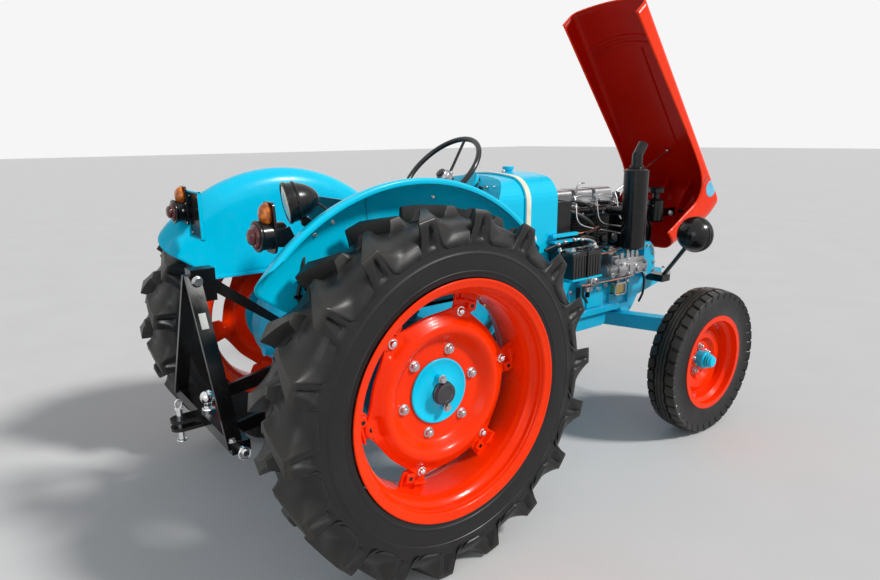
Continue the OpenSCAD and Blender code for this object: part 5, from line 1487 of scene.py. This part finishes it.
def hood_low(y):
    """Height of the side's lower edge: level, then rounding down into the nose's leg."""
    return float(np.interp(-y, [952, 1700, 1800, 1860, 1905, 1940, 1962, 1975],
                           [1042, 1040, 1036, 1031, 1023, 1011, 999, 988]))


def leg_shift(z):
    return float(np.interp(z, [625, 700, 800, 860, 900, 935, 965, 988], [10, -4, -20, -33, -37, -33, -19, 0]))


def front_shift(z):
    return float(np.interp(z, [625, 700, 880, 930, 965, 1000], [122, 96, 33, 16, 5, 0]))


def hood_line(px, py, low, shift, rows, inner):
    """One line of the skin, from the lower edge up the wall and over the crown to the spine."""
    spine_y = max(py, -2040)
    reach = hypot(px, spine_y - py)
    top = hood_top(px, py) - HOOD_EDGE_R
    line = []
    for k in range(rows):
        z = low + (top - low) * k / rows
        line.append((px, py + shift(z), z))
    steps = [0, 1, 2.5, 5, 8, 12, 17, 22, 26] + [26 + (reach - 26) * t / inner for t in range(1, inner + 1)]
    for e in steps:
        x, y = px * (1 - e / reach), py + (spine_y - py) * e / reach
        drop = HOOD_EDGE_R - sqrt(HOOD_EDGE_R ** 2 - max(HOOD_EDGE_R - e, 0) ** 2)
        z = hood_top(x, y) - drop
        line.append((x, y + shift(z), z))
    return line


def hood_lines():
    side, leg = [], []
    for y in np.linspace(HOOD_REAR, LEG_Y, 30):
        side.append(hood_line(hood_half(y), y, hood_low(y), lambda z: 0.0, 8, 10))
    y1 = NOSE_Y + NOSE_CORNER
    for t in np.linspace(0, 1, 8):
        y = LEG_Y + (y1 - LEG_Y) * t
        shift = lambda z: (1 - t) * leg_shift(z) + t * front_shift(z)
        leg.append(hood_line(hood_half(y), y, LEG_LOW, shift, 26, 10))
    for a in np.linspace(0, pi / 2, 11)[1:]:
        x = 252 - NOSE_CORNER + NOSE_CORNER * cos(a)
        leg.append(hood_line(x, y1 - NOSE_CORNER * sin(a), LEG_LOW, front_shift, 26, 10))
    for x in np.linspace(252 - NOSE_CORNER, 0.01, 8)[1:]:
        leg.append(hood_line(x, NOSE_Y, LEG_LOW, front_shift, 26, 10))
    return side, leg


def hood_skin():
    side, leg = hood_lines()
    bm = bmesh.new()
    for sign in (1, -1):
        for patch in (side, leg):
            grid = [[bm.verts.new(HOOD_TURN @ at(sign * x, y, z)) for x, y, z in line] for line in patch]
            for a, b in zip(grid, grid[1:]):
                for k in range(len(a) - 1):
                    bm.faces.new([a[k], b[k], b[k + 1], a[k + 1]])
    bmesh.ops.remove_doubles(bm, verts=bm.verts, dist=0.0002)
    bmesh.ops.dissolve_degenerate(bm, dist=0.0001, edges=bm.edges)
    mesh = to_mesh("hood_skin", bm)
    # The skin's inner side takes the darker orange: painted shade inside the hood
    ob = to_object("hood_skin", mesh, "orange", "orange_painted_shade")
    far = max(mesh.polygons, key=lambda f: abs(f.center.x))
    thicken(ob, 0.004, far.normal.x * far.center.x > 0, 1)
    hand_over(ob, "hood_body", ("hood",))
    # Folded hem along the free edges
    bm = bmesh.new()
    down = [point for point in leg[0] if 640 < point[2] < 980]
    low = [line[0] for line in side] + down[::-1] + [line[0] for line in leg]
    lower = low + [(-x, y, z) for x, y, z in reversed(low[:-1])]
    rear = side[0] + [(-x, y, z) for x, y, z in reversed(side[0][:-1])]
    for path, lift in ((lower, 3.4), (rear, -3.4)):
        pts = []
        for x, y, z in path:
            k = (abs(x) - 4.5) / max(abs(x), 1e-6) if abs(x) > 150 else 1.0
            if lift > 0:
                pts.append(HOOD_TURN @ at(x * k, y + (6 if abs(x) <= 162 or y < -2130 else 0), z + lift))
            else:
                pts.append(HOOD_TURN @ at(x * k, y - 3, z - 4.5))
        tube(bm, pts, 0.0034, 10)
    finish_mesh("hood_hem", bm, "orange", "hood_body", 40)
    bm = bmesh.new()
    # Arms of the hinge and the eye of the stay
    for sign in (1, -1):
        arm = [(-2159, 946), (-2159, 1116), (-2070, 1136), (-2098, 1010), (-2113, 924), (-2145, 922)]
        side_plate(bm, arm, sign * 69, sign * 79, HOOD_TURN)
    block(bm, at(9, -1869, 1122), at(15, -1845, 1150), HOOD_TURN)
    # Pressed ribs inside: two across, one along, in the darker orange of the painted shade inside the hood
    rib = [HOOD_TURN @ at(-68, y, hood_top(68, y) - 6) for y in np.linspace(-1215, -1840, 14)]
    tube(bm, rib, 0.004, 10)
    for y in (-1165, -1205):
        arch = []
        for x in np.linspace(24 - hood_half(y), hood_half(y) - 24, 41):
            arch.append(HOOD_TURN @ at(x, y + 24 * (1 - (x / 210) ** 2), hood_top(x, y) - 6))
        tube(bm, arch, 0.006, 12)
    finish_mesh("hood_ribs", bm, "orange_painted_shade", "hood_body", 40)
    # Slots of the nose, as thin black bars on its face that paint the shade behind open slots, and the bare
    # disc beside them
    bm = bmesh.new()
    for i in range(11):
        z = 690 + 24 * i
        for x0, x1 in ((-128, -8), (8, 128)):
            y = NOSE_Y + front_shift(z)
            block(bm, at(x0, y - 0.8, z), at(x1, y + 1.5, z + 9), HOOD_TURN)
    finish_mesh("nose_slots_painted_shade", bm, "black", "hood_body")
    bm = bmesh.new()
    rings = []
    for rho in (0.01, 8, 16, 24, 32, 38, 43, 45):
        ring = []
        lift = 1.8 if rho < 44 else 0.3
        for i in range(48):
            t = tau * i / 48
            y, up = -2042 + rho * cos(t), 1042 + rho * sin(t)
            wide = hood_half(y)
            bend = hood_top(wide, y) - HOOD_EDGE_R
            turn = min(max(up - bend, 0.0) / HOOD_EDGE_R, pi / 2 - 0.45)
            over = max(up - bend, 0.0) - turn * HOOD_EDGE_R
            x = wide - HOOD_EDGE_R + (HOOD_EDGE_R + lift) * cos(turn) - over * sin(turn)
            z = min(up, bend) + (HOOD_EDGE_R + lift) * sin(turn) + over * cos(turn)
            ring.append(bm.verts.new(HOOD_TURN @ at(-x, y, z)))
        rings.append(ring)
    for a, b in zip(rings, rings[1:]):
        for i in range(48):
            bm.faces.new([a[i], a[(i + 1) % 48], b[(i + 1) % 48], b[i]])
    finish_mesh("nose_disc", bm, "pale_blue", "hood_body", 50)


hood_skin()


# Seat: two crowned pads with piping

def pad(bm, low, high, crown, pull, n=(26, 20, 8), round_r=16):
    """A crowned pad between two corners (mm): its top bulges, and its sides pull in between the corners."""
    low, high = Vector(low), Vector(high)
    mid, half = (low + high) / 2, (high - low) / 2
    seen = {}

    def vert(i, j, k):
        key = (i, j, k)
        if key not in seen:
            u, v, t = 2 * i / n[0] - 1, 2 * j / n[1] - 1, 2 * k / n[2] - 1
            q = Vector((u * half.x, v * half.y, t * half.z))
            core = Vector([max(-(half[a] - round_r), min(half[a] - round_r, q[a])) for a in range(3)])
            out = q - core
            if out.length > 0:
                q = core + out.normalized() * min(out.length, round_r)
            q.x -= copysign(pull * (1 - v * v) * (1 - 0.3 * t * t) * abs(u) ** 6, u)
            q.y -= copysign(pull * (1 - u * u) * (1 - 0.3 * t * t) * abs(v) ** 6, v)
            q.z += (crown * (1 - u * u) ** 0.8 * (1 - v * v) ** 0.8) * (t + 1) / 2
            seen[key] = bm.verts.new(at(*(mid + q)))
        return seen[key]

    for axis in range(3):
        a, b = [x for x in range(3) if x != axis]
        for end in (0, n[axis]):
            for i in range(n[a]):
                for j in range(n[b]):
                    quad = []
                    for di, dj in ((0, 0), (1, 0), (1, 1), (0, 1)):
                        key = [0, 0, 0]
                        key[axis], key[a], key[b] = end, i + di, j + dj
                        quad.append(vert(*key))
                    bm.faces.new(quad)


SEAT_HALF, SEAT_LOW = 196, 951


def seat():
    bm = bmesh.new()
    pad(bm, (-SEAT_HALF, -316, SEAT_LOW), (SEAT_HALF, -36, SEAT_LOW + 50), 11, 5)
    ob = finish_mesh("seat_pad", bm, "vinyl", angle=60, subdivide=1, stand_for=("seat_cushion",))
    bm = bmesh.new()
    pad(bm, (-SEAT_HALF, -29, SEAT_LOW), (SEAT_HALF, 9, SEAT_LOW + 187), 3, 4, (26, 6, 14), 14)
    ob = finish_mesh("back_pad", bm, "vinyl", angle=60, subdivide=1)
    bm = bmesh.new()
    corners = [(-186, -306), (186, -306), (186, -46), (-186, -46)]
    outward = [(0, -1), (1, 0), (0, 1), (-1, 0)]
    for z in (992, 960):
        path = []
        for i in range(4):
            (x0, y0), (x1, y1) = corners[i], corners[(i + 1) % 4]
            nx, ny = outward[i]
            for t in np.linspace(0.04, 0.96, 14):
                inset = 5 * (1 - (2 * t - 1) ** 2)
                path.append(at(x0 + (x1 - x0) * t + nx * (9.2 - inset),
                               y0 + (y1 - y0) * t + ny * (9.2 - inset), z))
        tube(bm, path, 0.003, 8, closed=True)
    finish_mesh("seat_piping", bm, "plastic", angle=50)


seat()


# Hub of the steering wheel

WHEEL_SLOPE = radians(45)
RIM_CENTRE = spot(0, -490, 1225, (0, cos(WHEEL_SLOPE), sin(WHEEL_SLOPE)))


def steering_hub(bm):
    m = RIM_CENTRE
    turned(bm, [(31, -46), (32.5, -44), (33, -20), (30, -14), (26, -11), (24, -9), (22, -4), (14, -1)], m, 48)
    for i in range(3):
        f = m @ Matrix.Rotation(radians(90 + 120 * i), 4, "Z")
        turned(bm, [(9, 0), (9, 14), (7, 17)], f @ Matrix.Translation((0.026, 0, -0.038))
               @ Matrix.Rotation(radians(102), 4, "Y"), 20)


def steering_cap(bm):
    turned(bm, [(21, -4), (21.5, -1), (20, 2.5), (14, 5), (6, 6)], RIM_CENTRE, 40)


piece("steering_hub", "alloy", steering_hub, "steering_wheel_body")
piece("steering_cap", "plastic", steering_cap, "steering_wheel_body")


# Camera, floor and light

# Fitted to the photo: place in metres from the ground below the rear axle, turn in radians, and the
# view's distance and width in the same unit
CAMERA_PLACE, CAMERA_TURN = (-2.13, 1.137, 1.37), (0.921, 0.237, -0.011)
VIEW_DISTANCE, VIEW_WIDTH = 635, 880


def set_camera():
    yaw, pitch, roll = CAMERA_TURN
    forward = Vector((sin(yaw) * cos(pitch), -cos(yaw) * cos(pitch), -sin(pitch)))
    right = forward.cross(Vector((0, 0, 1))).normalized()
    up = right.cross(forward)
    r2 = right * cos(roll) + up * sin(roll)
    u2 = up * cos(roll) - right * sin(roll)
    cam = bpy.data.objects.new("camera", bpy.data.cameras.new("camera"))
    bpy.context.scene.collection.objects.link(cam)
    cam.matrix_world = Matrix((
        (r2.x, u2.x, -forward.x, CAMERA_PLACE[0]),
        (r2.y, u2.y, -forward.y, CAMERA_PLACE[1] + AXLE_Y / 1000),
        (r2.z, u2.z, -forward.z, CAMERA_PLACE[2]),
        (0, 0, 0, 1),
    ))
    cam.data.sensor_width = 36
    cam.data.lens = cam.data.sensor_width * VIEW_DISTANCE / VIEW_WIDTH
    cam.data.clip_end = 200
    bpy.context.scene.camera = cam


def set_stage():
    bm = bmesh.new()
    bmesh.ops.create_grid(bm, x_segments=1, y_segments=1, size=60)
    mesh = bpy.data.meshes.new("floor")
    bm.to_mesh(mesh)
    bm.free()
    floor = to_object("floor", mesh)
    k = Look("pale_floor")
    k.put("Base Color", k.ramp(k.noise(2.0, 6, 0.6), (0.3, 0.60), (0.7, 0.63)))
    k.put("Roughness", 0.85)
    mesh.materials.append(k.material)

    world = bpy.data.worlds.new("studio")
    bpy.context.scene.world = world
    world.use_nodes = True
    nodes, links = world.node_tree.nodes, world.node_tree.links
    nodes.clear()
    out = nodes.new("ShaderNodeOutputWorld")
    mix = nodes.new("ShaderNodeMixShader")
    # Soft light on the surfaces, and white where the camera or a reflection sees the surroundings
    for slot, colour, strength in ((1, (0.93, 0.96, 1.0, 1), 0.40), (2, (1, 1, 1, 1), 0.92)):
        background = nodes.new("ShaderNodeBackground")
        background.inputs["Color"].default_value = colour
        background.inputs["Strength"].default_value = strength
        links.new(background.outputs[0], mix.inputs[slot])
    path = nodes.new("ShaderNodeLightPath")
    seen = path.outputs["Is Camera Ray"]
    for ray in ("Is Glossy Ray", "Is Transmission Ray"):
        either = nodes.new("ShaderNodeMath")
        either.operation = "MAXIMUM"
        links.new(seen, either.inputs[0])
        links.new(path.outputs[ray], either.inputs[1])
        seen = either.outputs[0]
    links.new(seen, mix.inputs["Fac"])
    links.new(mix.outputs[0], out.inputs["Surface"])


def lamp(name, place, target, size, power, colour):
    light = bpy.data.lights.new(name, "AREA")
    light.shape = "DISK"
    light.size = size
    light.energy = power
    light.color = colour
    ob = bpy.data.objects.new(name, light)
    bpy.context.scene.collection.objects.link(ob)
    ob.matrix_world = pointing(Vector(place), Vector(place) - Vector(target))


set_camera()
set_stage()
sun = bpy.data.lights.new("key", "SUN")
sun.energy = 2.7
sun.angle = radians(9)
sun.color = (1.0, 0.985, 0.96)
key = bpy.data.objects.new("key", sun)
bpy.context.scene.collection.objects.link(key)
key.matrix_world = pointing(Vector((-4, -3, 6)), (-0.62, -0.42, 0.66))
lamp("fill", (-3.6, 5.0, 2.6), (0, 0.5, 0.6), 3.0, 40, (0.92, 0.96, 1.0))
bpy.context.scene.view_settings.view_transform = "Standard"
